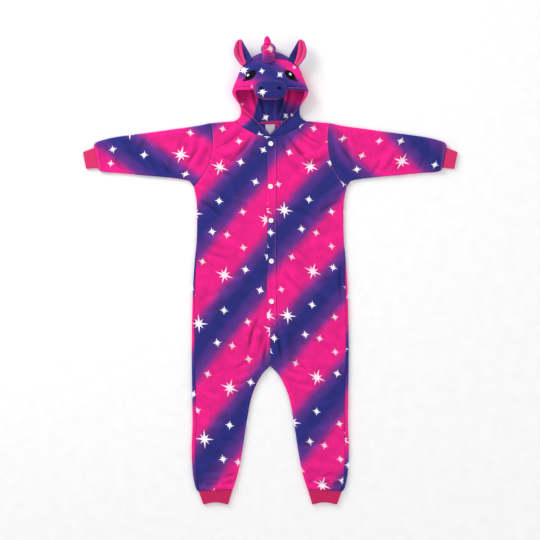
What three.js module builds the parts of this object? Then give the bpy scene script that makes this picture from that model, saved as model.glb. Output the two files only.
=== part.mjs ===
// A child's fleece unicorn onesie, laid flat on its back: one mesh for each piece that is cut and sewn on.
// Sizes are in millimetres. +X is the wearer's left, +Y runs from the ankles to the hood, +Z is up from the
// surface that the garment lies on, and the origin is under the middle of the whole garment.
import * as THREE from 'three';

// ---------------------------------------------------------------------------------------------- driving sizes
const FLEECE = 3; // wall of every fleece panel
const HALF_STACK = 4.75; // half the height of two panels that lie on each other
const SEAM_GAP = 0.3; // room between the pieces at a seam
const QUARTER = Math.PI / 2;
const DEGREE = Math.PI / 180;

const CENTRE_TOP_Y = 403.5; // where the front neckline meets the centre front
const CROTCH_Y = -283.5;
const CHEST_Y = 215; // where the rows of the panels begin to fan out to the armhole
const BACK_NECK_Y = 451.5;
const SHOULDER_BEND_FROM = 96; // the back's top edge lies flat inside this half width ...
const SHOULDER_BEND_TO = 112; // ... and is turned up into the shoulder seam outside this one

// The side, from the leg's hem to the underarm. wrap says where the seam lies on the rounded edge, measured
// along the cloth from where the edge starts to turn: below zero the back panel comes round to the front.
const SIDE_EDGE = [
  { x: 217.5, y: -658.5, wrap: -3 },
  { x: 223, y: -649.5, wrap: -4 },
  { x: 231, y: -613.5, wrap: -6 },
  { x: 236, y: -535.5, wrap: -6.5 },
  { x: 233.5, y: -466.5, wrap: -6.5 },
  { x: 234, y: -376.5, wrap: -6 },
  { x: 235.5, y: -235.5, wrap: -4 },
  { x: 232, y: -55.5, wrap: -1.5 },
  { x: 226.5, y: 31.5, wrap: 0.5 },
  { x: 221.5, y: 88.5, wrap: 7.4 },
  { x: 220, y: 163.5, wrap: 7.46 },
  { x: 222, y: 214.5, wrap: 7.46 },
  { x: 229.5, y: 253.5, wrap: 7.46 },
];
const INSEAM_EDGE = [
  { x: 111, y: -652.5 },
  { x: 96, y: -604.5 },
  { x: 84, y: -541.5 },
  { x: 71.5, y: -462 },
  { x: 57, y: -382.5 },
  { x: 39, y: -334.5 },
  { x: 21, y: -304.5 },
  { x: 0, y: CROTCH_Y },
];
const ARMHOLE = [
  { x: 229.5, y: 253.5 },
  { x: 201, y: 289.5 },
  { x: 183, y: 325.5 },
  { x: 172.5, y: 388.5 },
  { x: 177, y: 445.5 },
];
const NECKLINE = [
  { x: 0, y: CENTRE_TOP_Y },
  { x: 42, y: 410 },
  { x: 78, y: 429 },
  { x: 108, y: 451.5 },
];
const SLEEVE_TOP_EDGE = [
  { x: 177, y: 445.5 },
  { x: 219, y: 436.5 },
  { x: 285, y: 427.5 },
  { x: 352.5, y: 418 },
  { x: 420, y: 409.5 },
  { x: 469.5, y: 402 },
  { x: 501, y: 394.5 },
  { x: 522, y: 387 },
  { x: 529, y: 378.5 },
  { x: 526.5, y: 372 },
];
const SLEEVE_UNDER_EDGE = [
  { x: 229.5, y: 253.5 },
  { x: 242, y: 270 },
  { x: 262, y: 275.7 },
  { x: 318, y: 282.6 },
  { x: 387, y: 288.6 },
  { x: 453, y: 295 },
  { x: 500, y: 298.5 },
  { x: 513.5, y: 304 },
  { x: 514, y: 311 },
];
const WRIST_CUFF = { topIn: [527, 371.5], underIn: [514.3, 311.3], topOut: [562, 358], underOut: [552, 307.5] };
const ANKLE_CUFF = { topIn: [112.5, -652.4], topOut: [214.5, -658], lowIn: [126.5, -699.15], lowOut: [200, -699.15] };
const ANKLE_CUFF_ARCH = 7; // the cuff's opening is arched upwards by this much
const CUFF_RIB = { wrist: 10, ankle: 16, height: 0.7 }; // ribs over each cuff's face, and how far they stand up

// Soft folds of the front and the sleeves: a ridge (or, below zero, a trough) from one point to another.
const FOLDS = [
  { name: 'crotch ridge', x1: -28, y1: -140, x2: -50, y2: -236, width: 11, height: 6 },
  { name: 'crotch line', x1: 34, y1: -160, x2: 45, y2: -252, width: 12, height: 4.5 },
  { name: 'crotch fan right', x1: -30, y1: -292, x2: -92, y2: -318, width: 11, height: 4 },
  { name: 'crotch fan left', x1: 30, y1: -292, x2: 96, y2: -322, width: 11, height: 4 },
  { name: 'hip right', x1: -120, y1: -60, x2: -196, y2: -96, width: 16, height: 3.5 },
  { name: 'hip left', x1: 126, y1: -38, x2: 200, y2: -84, width: 16, height: 3.5 },
  { name: 'neck right', x1: -66, y1: 404, x2: -142, y2: 352, width: 12, height: 4.5 },
  { name: 'neck left', x1: 66, y1: 404, x2: 140, y2: 346, width: 12, height: 4.5 },
  { name: 'chest right', x1: -58, y1: 380, x2: -104, y2: 306, width: 13, height: 3.5 },
  { name: 'chest left', x1: 56, y1: 376, x2: 108, y2: 300, width: 13, height: 3.5 },
  { name: 'underarm right', x1: -206, y1: 236, x2: -132, y2: 190, width: 14, height: 3.5 },
  { name: 'underarm left', x1: 206, y1: 238, x2: 128, y2: 196, width: 14, height: 3.5 },
  { name: 'waist right', x1: -206, y1: 116, x2: -96, y2: 84, width: 16, height: 2.5 },
  { name: 'waist left', x1: 206, y1: 104, x2: 110, y2: 80, width: 16, height: 2.5 },
  { name: 'knee right', x1: -110, y1: -470, x2: -196, y2: -452, width: 15, height: 3 },
  { name: 'knee left', x1: 108, y1: -486, x2: 198, y2: -460, width: 15, height: 3 },
  { name: 'shin right', x1: -122, y1: -560, x2: -200, y2: -584, width: 15, height: 3 },
  { name: 'shin left', x1: 122, y1: -574, x2: 206, y2: -592, width: 15, height: 3 },
  { name: 'sleeve head right', x1: -196, y1: 402, x2: -236, y2: 318, width: 12, height: 4.5 },
  { name: 'sleeve head left', x1: 194, y1: 408, x2: 230, y2: 322, width: 12, height: 4.5 },
  { name: 'elbow right', x1: -318, y1: 304, x2: -352, y2: 372, width: 14, height: 3.5 },
  { name: 'elbow left', x1: 326, y1: 306, x2: 366, y2: 378, width: 14, height: 3.5 },
  { name: 'forearm right', x1: -420, y1: 318, x2: -452, y2: 380, width: 14, height: 3 },
  { name: 'forearm left', x1: 414, y1: 316, x2: 446, y2: 376, width: 14, height: 3 },
];
const ROLL = { height: 3.5, top: 9, spread: 9 }; // the roll of cloth just before each cuff, in mm from its seam

const PLACKET = { left: -9, right: 18, top: 402, bottom: -165, thick: 2 };
const BUTTON = { radius: 7.5, thick: 3, rim: 1.6, dish: 0.8 };
const BUTTON_PLACES = [
  { x: 1.6, y: 383 },
  { x: 1, y: 254.7 },
  { x: 2.3, y: 152.7 },
  { x: 3.5, y: 30.9 },
  { x: 3.8, y: -89.7 },
];

// The hood lies open like a bowl. Each row runs from the middle of its back, out under the hood to the widest
// point (edge), up and over to the rim of the face opening. base is the half width that lies on the surface.
const HOOD_ROWS = [
  { edgeX: 108, edgeY: 451.8, edgeZ: 4.75, rimX: 0, rimY: 403.8, rimZ: 9.8, backY: 451.8, base: 0.96, sag: 1 },
  { edgeX: 102, edgeY: 454.5, edgeZ: 5.2, rimX: 0, rimY: 409.5, rimZ: 11, backY: 455, base: 0.8, sag: 0.75 },
  { edgeX: 96, edgeY: 459, edgeZ: 6, rimX: 21, rimY: 433.5, rimZ: 13, backY: 459, base: 0.6, sag: 0.2 },
  { edgeX: 90.5, edgeY: 467, edgeZ: 7.5, rimX: 43.5, rimY: 456, rimZ: 16.5, backY: 466, base: 0.4, sag: 0 },
  { edgeX: 88.5, edgeY: 480, edgeZ: 11, rimX: 67, rimY: 477, rimZ: 22, backY: 478, base: 0.42, sag: 0 },
  { edgeX: 91, edgeY: 497, edgeZ: 17, rimX: 87, rimY: 496, rimZ: 30, backY: 494, base: 0.5, sag: 0 },
  { edgeX: 106, edgeY: 517, edgeZ: 23, rimX: 97, rimY: 514, rimZ: 36, backY: 514, base: 0.53, sag: 0 },
  { edgeX: 114.5, edgeY: 536, edgeZ: 27, rimX: 103, rimY: 535, rimZ: 40, backY: 534, base: 0.55, sag: 0 },
  { edgeX: 110.5, edgeY: 552, edgeZ: 28, rimX: 98, rimY: 541, rimZ: 42, backY: 552, base: 0.55, sag: 0 },
  { edgeX: 104, edgeY: 568, edgeZ: 28, rimX: 85, rimY: 541.4, rimZ: 44, backY: 568, base: 0.55, sag: 0 },
  { edgeX: 97, edgeY: 585, edgeZ: 28, rimX: 70, rimY: 541.6, rimZ: 45.2, backY: 583, base: 0.55, sag: 0 },
  { edgeX: 89, edgeY: 605, edgeZ: 27, rimX: 55, rimY: 541.7, rimZ: 46.4, backY: 596, base: 0.55, sag: 0 },
  { edgeX: 74, edgeY: 624, edgeZ: 26, rimX: 40, rimY: 541.8, rimZ: 47.2, backY: 606, base: 0.5, sag: 0 },
  { edgeX: 54, edgeY: 641, edgeZ: 24, rimX: 26, rimY: 541.8, rimZ: 47.8, backY: 613, base: 0.42, sag: 0 },
  { edgeX: 28, edgeY: 654, edgeZ: 22, rimX: 13, rimY: 541.8, rimZ: 48, backY: 618, base: 0.35, sag: 0 },
  { edgeX: 0, edgeY: 659, edgeZ: 22, rimX: 0, rimY: 541.8, rimZ: 48.1, backY: 620, base: 0.3, sag: 0 },
];
const CROWN_ROW = 11; // from this row on, the seam leaves the edge and crosses the top of the hood
const CROWN_SEAM_Y = [605, 619, 631, 636, 637]; // where the rows from CROWN_ROW on meet that seam
const FOREHEAD = { top: 49, middleY: 565, halfWidth: 105, halfLength: 72, sideDrop: 7, endDrop: 9 };
const HOOD_ROUND = 30; // how far in from the edge the top of the hood curves up

const MUZZLE = { x: 1, y: 543, halfWidth: 49, up: 29, down: 31, height: 19, lift: 0.4 };
const NOSTRIL = { x: 27.5, y: 546, halfWidth: 5.5, halfHeight: 4.5, thick: 0.8 };
const EYE = { x: 59, y: 586, halfLong: 19, halfWide: 10.5, tilt: 42, thick: 1.2 };
const GLINT = { right: [-66.5, 585.5], left: [60, 588.5], halfLong: 4.6, halfWide: 3, thick: 0.6 };

const EAR_ROWS = [
  { inX: 54, inY: 634, outX: 84, outY: 612.5, z: 39, cup: 3 },
  { inX: 56.5, inY: 648, outX: 97, outY: 628, z: 39, cup: 7 },
  { inX: 60, inY: 661, outX: 106, outY: 643, z: 38, cup: 9 },
  { inX: 67, inY: 673, outX: 109, outY: 660, z: 37, cup: 8 },
  { inX: 76, inY: 684, outX: 105.5, outY: 675, z: 36, cup: 5 },
  { inX: 84, inY: 690.5, outX: 99, outY: 686.5, z: 35, cup: 2.5 },
  { inX: 90, inY: 694.3, outX: 93.5, outY: 693.3, z: 34, cup: 0.8 },
];
const EAR = { wall: 2.5, lining: 2, liningInset: 0.1 };

const HORN = { base: [-5, 637, 38.8], bend: [-6, 648, 59], tip: [-10, 699, 84], sides: 20 };
const HORN_RINGS = [
  { along: 0.05, radius: 18.6 },
  { along: 0.16, radius: 18.2 },
  { along: 0.24, radius: 15.4 },
  { along: 0.33, radius: 16.6 },
  { along: 0.48, radius: 13.6 },
  { along: 0.56, radius: 10 },
  { along: 0.64, radius: 10.6 },
  { along: 0.8, radius: 7.4 },
  { along: 0.93, radius: 4.2 },
  { along: 0.985, radius: 1.8 },
];
const MANE = { x: -5.5, y: 667.6, halfWidth: 23, back: 8.2, front: 17.5, topZ: 40, lowZ: 15 };
const NECK_TAPE = { left: -30, right: 30, y: 446, wide: 6, thick: 1 };
const LABEL = { left: -17, right: 14.5, top: 441, bottom: 408, thick: 0.8 };

// -------------------------------------------------------------------------------------------------- materials
const finish = (color, roughness = 0.9) => new THREE.MeshStandardMaterial({ color, roughness, metalness: 0 });
const FINISH = {
  print: finish(0xd91d87),
  cuff: finish(0xe42b6b, 0.85),
  pink: finish(0xc01f68),
  purple: finish(0x6a3c98),
  black: finish(0x1c1b1f, 0.6),
  white: finish(0xf4f2f5, 0.7),
  button: finish(0xf3f1ee, 0.3),
  label: finish(0xb4afb4, 0.8),
};

// --------------------------------------------------------------------------------------------- small functions
const lerp = (from, to, part) => from + (to - from) * part;
const clamp01 = (value) => Math.min(1, Math.max(0, value));
const smoothstep = (from, to, value) => {
  const part = clamp01((value - from) / (to - from));
  return part * part * (3 - 2 * part);
};
const spread = (from, to, steps) => Array.from({ length: steps + 1 }, (_, step) => lerp(from, to, step / steps));
const curveThrough = (rows, third = 'z') =>
  new THREE.CatmullRomCurve3(
    rows.map((row) => new THREE.Vector3(row.x, row.y, row[third] ?? 0)),
    false,
    'centripetal',
  );

// The point of a curve at a height y, where y rises all along the curve.
function pointAtY(curve, y) {
  let low = 0;
  let high = 1;
  for (let step = 0; step < 40; step += 1) {
    const middle = (low + high) / 2;
    if (curve.getPointAt(middle).y < y) low = middle;
    else high = middle;
  }
  return curve.getPointAt((low + high) / 2);
}

// How far the folds lift the upper cloth at a place.
function foldHeight(x, y) {
  let height = 0;
  for (const fold of FOLDS) {
    const length = Math.hypot(fold.x2 - fold.x1, fold.y2 - fold.y1);
    const alongX = (fold.x2 - fold.x1) / length;
    const alongY = (fold.y2 - fold.y1) / length;
    const along = (x - fold.x1) * alongX + (y - fold.y1) * alongY;
    const across = (x - fold.x1) * -alongY + (y - fold.y1) * alongX;
    const part = clamp01(along / length);
    const beyond = along - part * length;
    const taper = Math.sin(Math.PI * (0.12 + 0.76 * part));
    height += fold.height * taper * Math.exp(-(across * across + beyond * beyond) / (fold.width * fold.width));
  }
  return height;
}
const PLACKET_CLEAR = { side: 40, soft: 12 };
function clothLift(x, y) {
  const belowPlacket = smoothstep(PLACKET.bottom - 2, PLACKET.bottom - 24, y);
  const besidePlacket = smoothstep(PLACKET_CLEAR.side, PLACKET_CLEAR.side + PLACKET_CLEAR.soft, Math.abs(x));
  return foldHeight(x, y) * Math.max(belowPlacket, besidePlacket);
}

// A closed mesh from a list of points and triangles, flipped on the mirrored side.
function solid(name, material, points, triangles, flip = false) {
  const geometry = new THREE.BufferGeometry();
  geometry.setAttribute('position', new THREE.Float32BufferAttribute(points.flat(), 3));
  const turned = flip ? triangles.map(([a, b, c]) => [a, c, b]) : triangles;
  geometry.setIndex(turned.flat());
  geometry.computeVertexNormals();
  const mesh = new THREE.Mesh(geometry, material);
  mesh.name = name;
  return mesh;
}

// A wall between two grids of points: outer faces out, inner faces in, and the four edges are closed.
function wall(name, material, outer, inner, flip) {
  const rows = outer.length;
  const columns = outer[0].length;
  const points = [...outer.flat(), ...inner.flat()];
  const out = (row, column) => row * columns + column;
  const within = (row, column) => rows * columns + row * columns + column;
  const triangles = [];
  const quad = (a, b, c, d) => triangles.push([a, b, c], [a, c, d]);
  for (let row = 0; row + 1 < rows; row += 1) {
    for (let column = 0; column + 1 < columns; column += 1) {
      quad(out(row, column), out(row, column + 1), out(row + 1, column + 1), out(row + 1, column));
      quad(within(row, column), within(row + 1, column), within(row + 1, column + 1), within(row, column + 1));
    }
    quad(out(row, 0), out(row + 1, 0), within(row + 1, 0), within(row, 0));
    const last = columns - 1;
    quad(out(row, last), within(row, last), within(row + 1, last), out(row + 1, last));
  }
  for (let column = 0; column + 1 < columns; column += 1) {
    quad(out(0, column), within(0, column), within(0, column + 1), out(0, column + 1));
    const last = rows - 1;
    quad(out(last, column), out(last, column + 1), within(last, column + 1), within(last, column));
  }
  return solid(name, material, points, triangles, flip);
}

// A wall that closes on itself: each row is a ring, and the two ends are open.
function tube(name, material, outer, inner, flip) {
  const rows = outer.length;
  const columns = outer[0].length;
  const points = [...outer.flat(), ...inner.flat()];
  const out = (row, column) => row * columns + (column % columns);
  const within = (row, column) => rows * columns + out(row, column);
  const triangles = [];
  const quad = (a, b, c, d) => triangles.push([a, b, c], [a, c, d]);
  for (let column = 0; column < columns; column += 1) {
    for (let row = 0; row + 1 < rows; row += 1) {
      quad(out(row, column), out(row, column + 1), out(row + 1, column + 1), out(row + 1, column));
      quad(within(row, column), within(row + 1, column), within(row + 1, column + 1), within(row, column + 1));
    }
    quad(out(0, column), within(0, column), within(0, column + 1), out(0, column + 1));
    const last = rows - 1;
    quad(out(last, column), out(last, column + 1), within(last, column + 1), within(last, column));
  }
  return solid(name, material, points, triangles, flip);
}

// A closed skin over rings of points, with a point at its start and a point at its end.
function rounded(name, material, start, rings, end, flip) {
  const columns = rings[0].length;
  const points = [start, ...rings.flat(), end];
  const at = (ring, column) => 1 + ring * columns + (column % columns);
  const last = points.length - 1;
  const triangles = [];
  for (let column = 0; column < columns; column += 1) {
    triangles.push([0, at(0, column + 1), at(0, column)]);
    for (let ring = 0; ring + 1 < rings.length; ring += 1) {
      triangles.push([at(ring, column), at(ring, column + 1), at(ring + 1, column + 1)]);
      triangles.push([at(ring, column), at(ring + 1, column + 1), at(ring + 1, column)]);
    }
    triangles.push([at(rings.length - 1, column), at(rings.length - 1, column + 1), last]);
  }
  return solid(name, material, points, triangles, flip);
}

// ------------------------------------------------------------------------------------- front and back panels
const sideCurve = curveThrough(SIDE_EDGE, 'wrap');
const inseamCurve = curveThrough(INSEAM_EDGE);
const inseamLength = inseamCurve.getLength();
const armholeCurve = curveThrough(ARMHOLE);

// A place on the neckline, from the centre front (share 0) to the shoulder (share 1).
function necklinePoint(share) {
  const place = clamp01(share) * (NECKLINE.length - 1);
  const from = Math.min(Math.floor(place), NECKLINE.length - 2);
  const [a, b] = [NECKLINE[from], NECKLINE[from + 1]];
  return new THREE.Vector3(lerp(a.x, b.x, place - from), lerp(a.y, b.y, place - from), 0);
}
const shoulderY = (x) => lerp(NECKLINE.at(-1).y, ARMHOLE.at(-1).y, clamp01((x - 108) / (177 - 108)));

const LEG_ROWS = [0, 0.02, 0.045, 0.08, ...spread(0.19, 0.88, 5), 0.96];
const TORSO_ROWS = spread(0, 1, 10);
const ARC_STEPS = [60, 30, 0].map((angle) => angle * DEGREE); // the turned edge at the underarm, row by row
const ARMHOLE_STEPS = 6; // even rows along the armhole, shared with the sleeve
const BELOW_NECK_ROWS = 3; // how many of them lie below the neckline

// The places along the armhole, in mm from the underarm, where the panels and the sleeve share their points.
const armholeLength = armholeCurve.getLength();
const armholeEven = spread(HALF_STACK, armholeLength - HALF_STACK, ARMHOLE_STEPS);

// The rows of a panel: two plan points each, how far each end is turned, and how far the row itself is turned.
function panelRows(isBack) {
  const rows = [];
  for (const part of LEG_ROWS) {
    const inner = inseamCurve.getPointAt(part);
    const outer = pointAtY(sideCurve, lerp(SIDE_EDGE[0].y, CROTCH_Y, part));
    rows.push({ inner, outer, innerTurn: QUARTER, wrap: outer.z, tangent: HALF_STACK, rowTurn: 0, leg: part });
  }
  for (const part of TORSO_ROWS) {
    const innerY = lerp(CROTCH_Y, CHEST_Y, part);
    const inner = new THREE.Vector3(0, innerY, 0);
    const outer = pointAtY(sideCurve, lerp(CROTCH_Y, ARMHOLE[0].y, part));
    const innerTurn = QUARTER * smoothstep(CROTCH_Y + 66, CROTCH_Y, innerY);
    rows.push({ inner, outer, innerTurn, wrap: outer.z, tangent: HALF_STACK, rowTurn: 0, leg: 1 });
  }
  const innerAt = (step) => {
    if (isBack) return new THREE.Vector3(0, lerp(CHEST_Y, BACK_NECK_Y - HALF_STACK, step / ARMHOLE_STEPS), 0);
    if (step <= BELOW_NECK_ROWS) return new THREE.Vector3(0, lerp(CHEST_Y, CENTRE_TOP_Y, step / BELOW_NECK_ROWS), 0);
    return necklinePoint((step - BELOW_NECK_ROWS) / (ARMHOLE_STEPS - BELOW_NECK_ROWS));
  };
  const addArmholeRow = (along, turn, step) => {
    const outer = armholeCurve.getPointAt(along / armholeLength);
    const inner = innerAt(step);
    const tangent = HALF_STACK * Math.sin(turn);
    rows.push({ inner, outer, innerTurn: 0, wrap: HALF_STACK * turn, armhole: true, tangent, rowTurn: 0, leg: 1 });
  };
  ARC_STEPS.forEach((turn, index) => addArmholeRow(HALF_STACK * (1 - Math.sin(turn)), turn, 0.04 * (index + 1)));
  armholeEven.slice(1, -1).forEach((along, index) => addArmholeRow(along, 0, index + 1));
  for (const turn of [0, 30, 60, 88.2]) {
    const rowTurn = turn * DEGREE;
    const inner = isBack ? new THREE.Vector3(0, BACK_NECK_Y, 0) : necklinePoint(1);
    const outer = armholeCurve.getPointAt(1);
    rows.push({ inner, outer, innerTurn: 0, wrap: 0, armhole: true, tangent: 0, rowTurn, shoulder: true, leg: 1 });
  }
  return rows;
}

// One point of a panel: at a length along the row's cloth, at a height from the middle plane of the stack.
function panelPoint(row, side, isBack, length, offset) {
  const { inner, outer, innerTurn, tangent } = row;
  const across = Math.hypot(outer.x - inner.x, outer.y - inner.y);
  const innerArc = HALF_STACK * innerTurn;
  const innerStart = HALF_STACK * Math.sin(innerTurn);
  const outerStart = across - tangent;
  const flat = outerStart - innerStart;
  const beforeFlat = innerArc - length;
  const afterFlat = length - innerArc - flat;
  let along = innerStart - beforeFlat;
  let lift = 1;
  if (beforeFlat > 0) {
    const angle = beforeFlat / HALF_STACK;
    along = innerStart - offset * Math.sin(angle);
    lift = Math.cos(angle);
  } else if (afterFlat > 0) {
    const angle = Math.min(afterFlat / HALF_STACK, Math.PI);
    along = outerStart + offset * Math.sin(angle) - Math.max(0, afterFlat - Math.PI * HALF_STACK);
    lift = Math.cos(angle);
  }
  const x = lerp(inner.x, outer.x, along / across);
  let y = lerp(inner.y, outer.y, along / across);
  let turn = row.rowTurn;
  if (row.shoulder) {
    turn *= isBack ? smoothstep(SHOULDER_BEND_FROM, SHOULDER_BEND_TO, x) : 1;
    y = shoulderY(x) - HALF_STACK * (1 - Math.sin(row.rowTurn)) - (HALF_STACK - offset) * Math.sin(turn);
  }
  let height = offset * lift * Math.cos(turn);
  if (!isBack) {
    const hem = row.leg * inseamLength; // how far the row is from the hem
    const roll = row.leg > 0 ? ROLL.height * Math.exp(-(((hem - ROLL.top) / ROLL.spread) ** 2)) : 0;
    height += (clothLift(side * x, y) + roll) * Math.max(0, lift) * Math.cos(turn);
  }
  return [side * x, y, HALF_STACK + (isBack ? -height : height)];
}

function panel(name, side, isBack, flatSteps, innerSteps, outerSteps) {
  const rows = panelRows(isBack);
  const grids = [HALF_STACK, HALF_STACK - FLEECE].map((offset) =>
    rows.map((row, index) => {
      const across = Math.hypot(row.outer.x - row.inner.x, row.outer.y - row.inner.y);
      const innerArc = HALF_STACK * row.innerTurn;
      const flat = across - row.tangent - HALF_STACK * Math.sin(row.innerTurn);
      const turned = isBack && !row.armhole ? Math.PI * HALF_STACK - row.wrap : row.wrap;
      const total = innerArc + flat + turned - SEAM_GAP / 2;
      const outerArc = Math.max(turned, QUARTER * HALF_STACK);
      const innerEdge = QUARTER * HALF_STACK;
      const stations = [
        ...spread(SEAM_GAP / 2, innerEdge, innerSteps),
        ...spread(innerEdge, total - outerArc, flatSteps).slice(1, -1),
        ...spread(total - outerArc, total, outerSteps),
      ];
      const shift = (index === 0 ? 1 : 0) * (SEAM_GAP / 2);
      return stations.map((station) => {
        const point = panelPoint(row, side, isBack, station, offset);
        point[1] += shift;
        return point;
      });
    }),
  );
  const flip = isBack ? side > 0 : side < 0;
  return wall(name, FINISH.print, grids[0], grids[1], flip);
}

// ----------------------------------------------------------------------------------------- sleeves and cuffs
const sleeveTopCurve = curveThrough(SLEEVE_TOP_EDGE);
const sleeveUnderCurve = curveThrough(SLEEVE_UNDER_EDGE);
const SLEEVE_ROWS = [0, 0.06, 0.16, 0.28, 0.42, 0.56, 0.7, 0.83, 0.93, 0.97, 1];
const ROLL_ROW = 0.965; // where along the sleeve the roll before the cuff is highest

// The stations of a flattened ring: how far across it they lie (in mm), and how far round its edge.
function ringStations(width, evenShares, arcSteps, underShares = evenShares) {
  const stations = [];
  const arc = spread(0, Math.PI, arcSteps).slice(1, -1);
  for (const share of evenShares) stations.push({ across: share * width, angle: 0, atTop: true });
  for (const angle of arc) stations.push({ edge: 'top', angle });
  for (const share of [...underShares].reverse()) stations.push({ across: share * width, angle: Math.PI });
  for (const angle of arc) stations.push({ edge: 'under', angle: Math.PI - angle });
  return stations.map((station) => ({ ...station, width }));
}

// The place across a ring, in mm from its lower edge, and the height from the middle of the stack.
function ringPlace(station, offset, half) {
  const shift = offset * Math.sin(station.angle);
  if (station.edge === 'top') return [station.width - half + shift, offset * Math.cos(station.angle)];
  if (station.edge === 'under') return [half - shift, offset * Math.cos(station.angle)];
  return [station.across, station.angle === 0 ? offset : -offset];
}

function sleeve(name, side) {
  const chord = (part, share) => {
    const under = sleeveUnderCurve.getPointAt(part);
    const top = sleeveTopCurve.getPointAt(part);
    return [lerp(under.x, top.x, share), lerp(under.y, top.y, share)];
  };
  const grids = [HALF_STACK, HALF_STACK - FLEECE].map((offset) =>
    SLEEVE_ROWS.map((part) => {
      const [underX, underY] = chord(part, 0);
      const [topX, topY] = chord(part, 1);
      const width = Math.hypot(topX - underX, topY - underY);
      const even = armholeEven.map((along) => along / armholeLength);
      const edge = HALF_STACK / width;
      const shares = even.map((share) => lerp(edge, 1 - edge, (share - even[0]) / (even.at(-1) - even[0])));
      return ringStations(width, shares, 4).map((station) => {
        const [across, height] = ringPlace(station, offset, HALF_STACK);
        const share = across / width;
        const [x, y] = chord(part, share);
        const curved = armholeCurve.getPointAt(clamp01(share));
        const [straightX, straightY] = chord(0, clamp01(share));
        const pull = (1 - part) ** 3;
        const placedX = x + (curved.x - straightX) * pull + (part === 0 ? SEAM_GAP : 0);
        const placedY = y + (curved.y - straightY) * pull;
        const roll = ROLL.height * Math.exp(-(((part - ROLL_ROW) / 0.022) ** 2)) * (part < 1 ? 1 : 0);
        const upper = Math.max(0, height / offset);
        const raised = height + (clothLift(side * placedX, placedY) * (part < 1 ? 1 : 0) + roll) * upper;
        return [side * placedX, placedY, HALF_STACK + raised];
      });
    }),
  );
  return tube(name, FINISH.print, grids[0], grids[1], side > 0);
}

function cuffGrids(side, corners, ribs, arch, towards) {
  const [underIn, topIn, underOut, topOut] = corners;
  const rows = [0, 0.12, 0.88, 1];
  const perRib = 2;
  const grids = [HALF_STACK, HALF_STACK - FLEECE].map((offset, layer) =>
    rows.map((part) => {
      const half = lerp(HALF_STACK, HALF_STACK - 0.5, part);
      const wallOffset = layer === 0 ? half : half - FLEECE;
      const under = [lerp(underIn[0], underOut[0], part), lerp(underIn[1], underOut[1], part)];
      const top = [lerp(topIn[0], topOut[0], part), lerp(topIn[1], topOut[1], part)];
      const width = Math.hypot(top[0] - under[0], top[1] - under[1]);
      const edge = HALF_STACK / width;
      const shares = spread(edge, 1 - edge, ribs * perRib);
      const underShares = spread(edge, 1 - edge, Math.ceil(ribs / 3));
      return ringStations(width, shares, 4, underShares).map((station, index) => {
        const [across, height] = ringPlace(station, wallOffset, HALF_STACK);
        const share = across / width;
        const rib = layer === 0 && station.atTop && index % perRib === 1 && part > 0 && part < 1;
        const bow = arch * part * Math.sin(Math.PI * clamp01(share));
        const x = lerp(under[0], top[0], share) + towards[0] * (bow - (part === 0 ? SEAM_GAP : 0));
        const y = lerp(under[1], top[1], share) + towards[1] * (bow - (part === 0 ? SEAM_GAP : 0));
        return [side * x, y, half + height + (rib ? CUFF_RIB.height : 0)];
      });
    }),
  );
  return grids;
}

function wristCuff(name, side) {
  const { topIn, underIn, topOut, underOut } = WRIST_CUFF;
  const grids = cuffGrids(side, [underIn, topIn, underOut, topOut], CUFF_RIB.wrist, 0, [-1, 0]);
  return tube(name, FINISH.cuff, grids[0], grids[1], side > 0);
}

function ankleCuff(name, side) {
  const { topIn, topOut, lowIn, lowOut } = ANKLE_CUFF;
  const grids = cuffGrids(side, [topIn, topOut, lowIn, lowOut], CUFF_RIB.ankle, ANKLE_CUFF_ARCH, [0, 1]);
  return tube(name, FINISH.cuff, grids[0], grids[1], side > 0);
}

// ----------------------------------------------------------------------------------------- placket, buttons
const FRONT_TOP = 2 * HALF_STACK; // the height of the front where no fold lifts it

function plate(name, material, left, right, low, high, bottomZ, thick) {
  const geometry = new THREE.BoxGeometry(right - left, high - low, thick);
  geometry.translate((left + right) / 2, (low + high) / 2, bottomZ + thick / 2);
  const mesh = new THREE.Mesh(geometry, material);
  mesh.name = name;
  return mesh;
}

function placket() {
  const edge = PLACKET.thick / 2;
  const rows = [PLACKET.bottom, PLACKET.top];
  const bottomZ = FRONT_TOP + SEAM_GAP;
  const columns = [PLACKET.left, PLACKET.left + edge, PLACKET.right - edge, PLACKET.right];
  const rise = [0.6, 1, 1, 0.6].map((share) => share * PLACKET.thick);
  const outer = rows.map((y) => columns.map((x, index) => [x, y, bottomZ + rise[index]]));
  const inner = rows.map((y) => columns.map((x) => [x, y, bottomZ]));
  return wall('placket', FINISH.print, outer, inner, false);
}

function button(name, place) {
  const { radius, thick, rim, dish } = BUTTON;
  const profile = [
    [0, 0],
    [radius * 0.8, 0],
    [radius, thick * 0.45],
    [radius * 0.94, thick],
    [radius - rim, thick],
    [radius - rim * 1.6, thick - dish],
    [0, thick - dish],
  ];
  const geometry = new THREE.LatheGeometry(profile.map(([r, z]) => new THREE.Vector2(r, z)), 14);
  geometry.rotateX(QUARTER);
  geometry.translate(place.x, place.y, FRONT_TOP + PLACKET.thick + 2 * SEAM_GAP);
  const mesh = new THREE.Mesh(geometry, FINISH.button);
  mesh.name = name;
  return mesh;
}

// ------------------------------------------------------------------------------------------------------- hood
const foreheadZ = (x, y) => {
  const aside = x / FOREHEAD.halfWidth;
  const along = (y - FOREHEAD.middleY) / FOREHEAD.halfLength;
  return FOREHEAD.top - FOREHEAD.sideDrop * aside * aside - FOREHEAD.endDrop * along * along;
};

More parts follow.
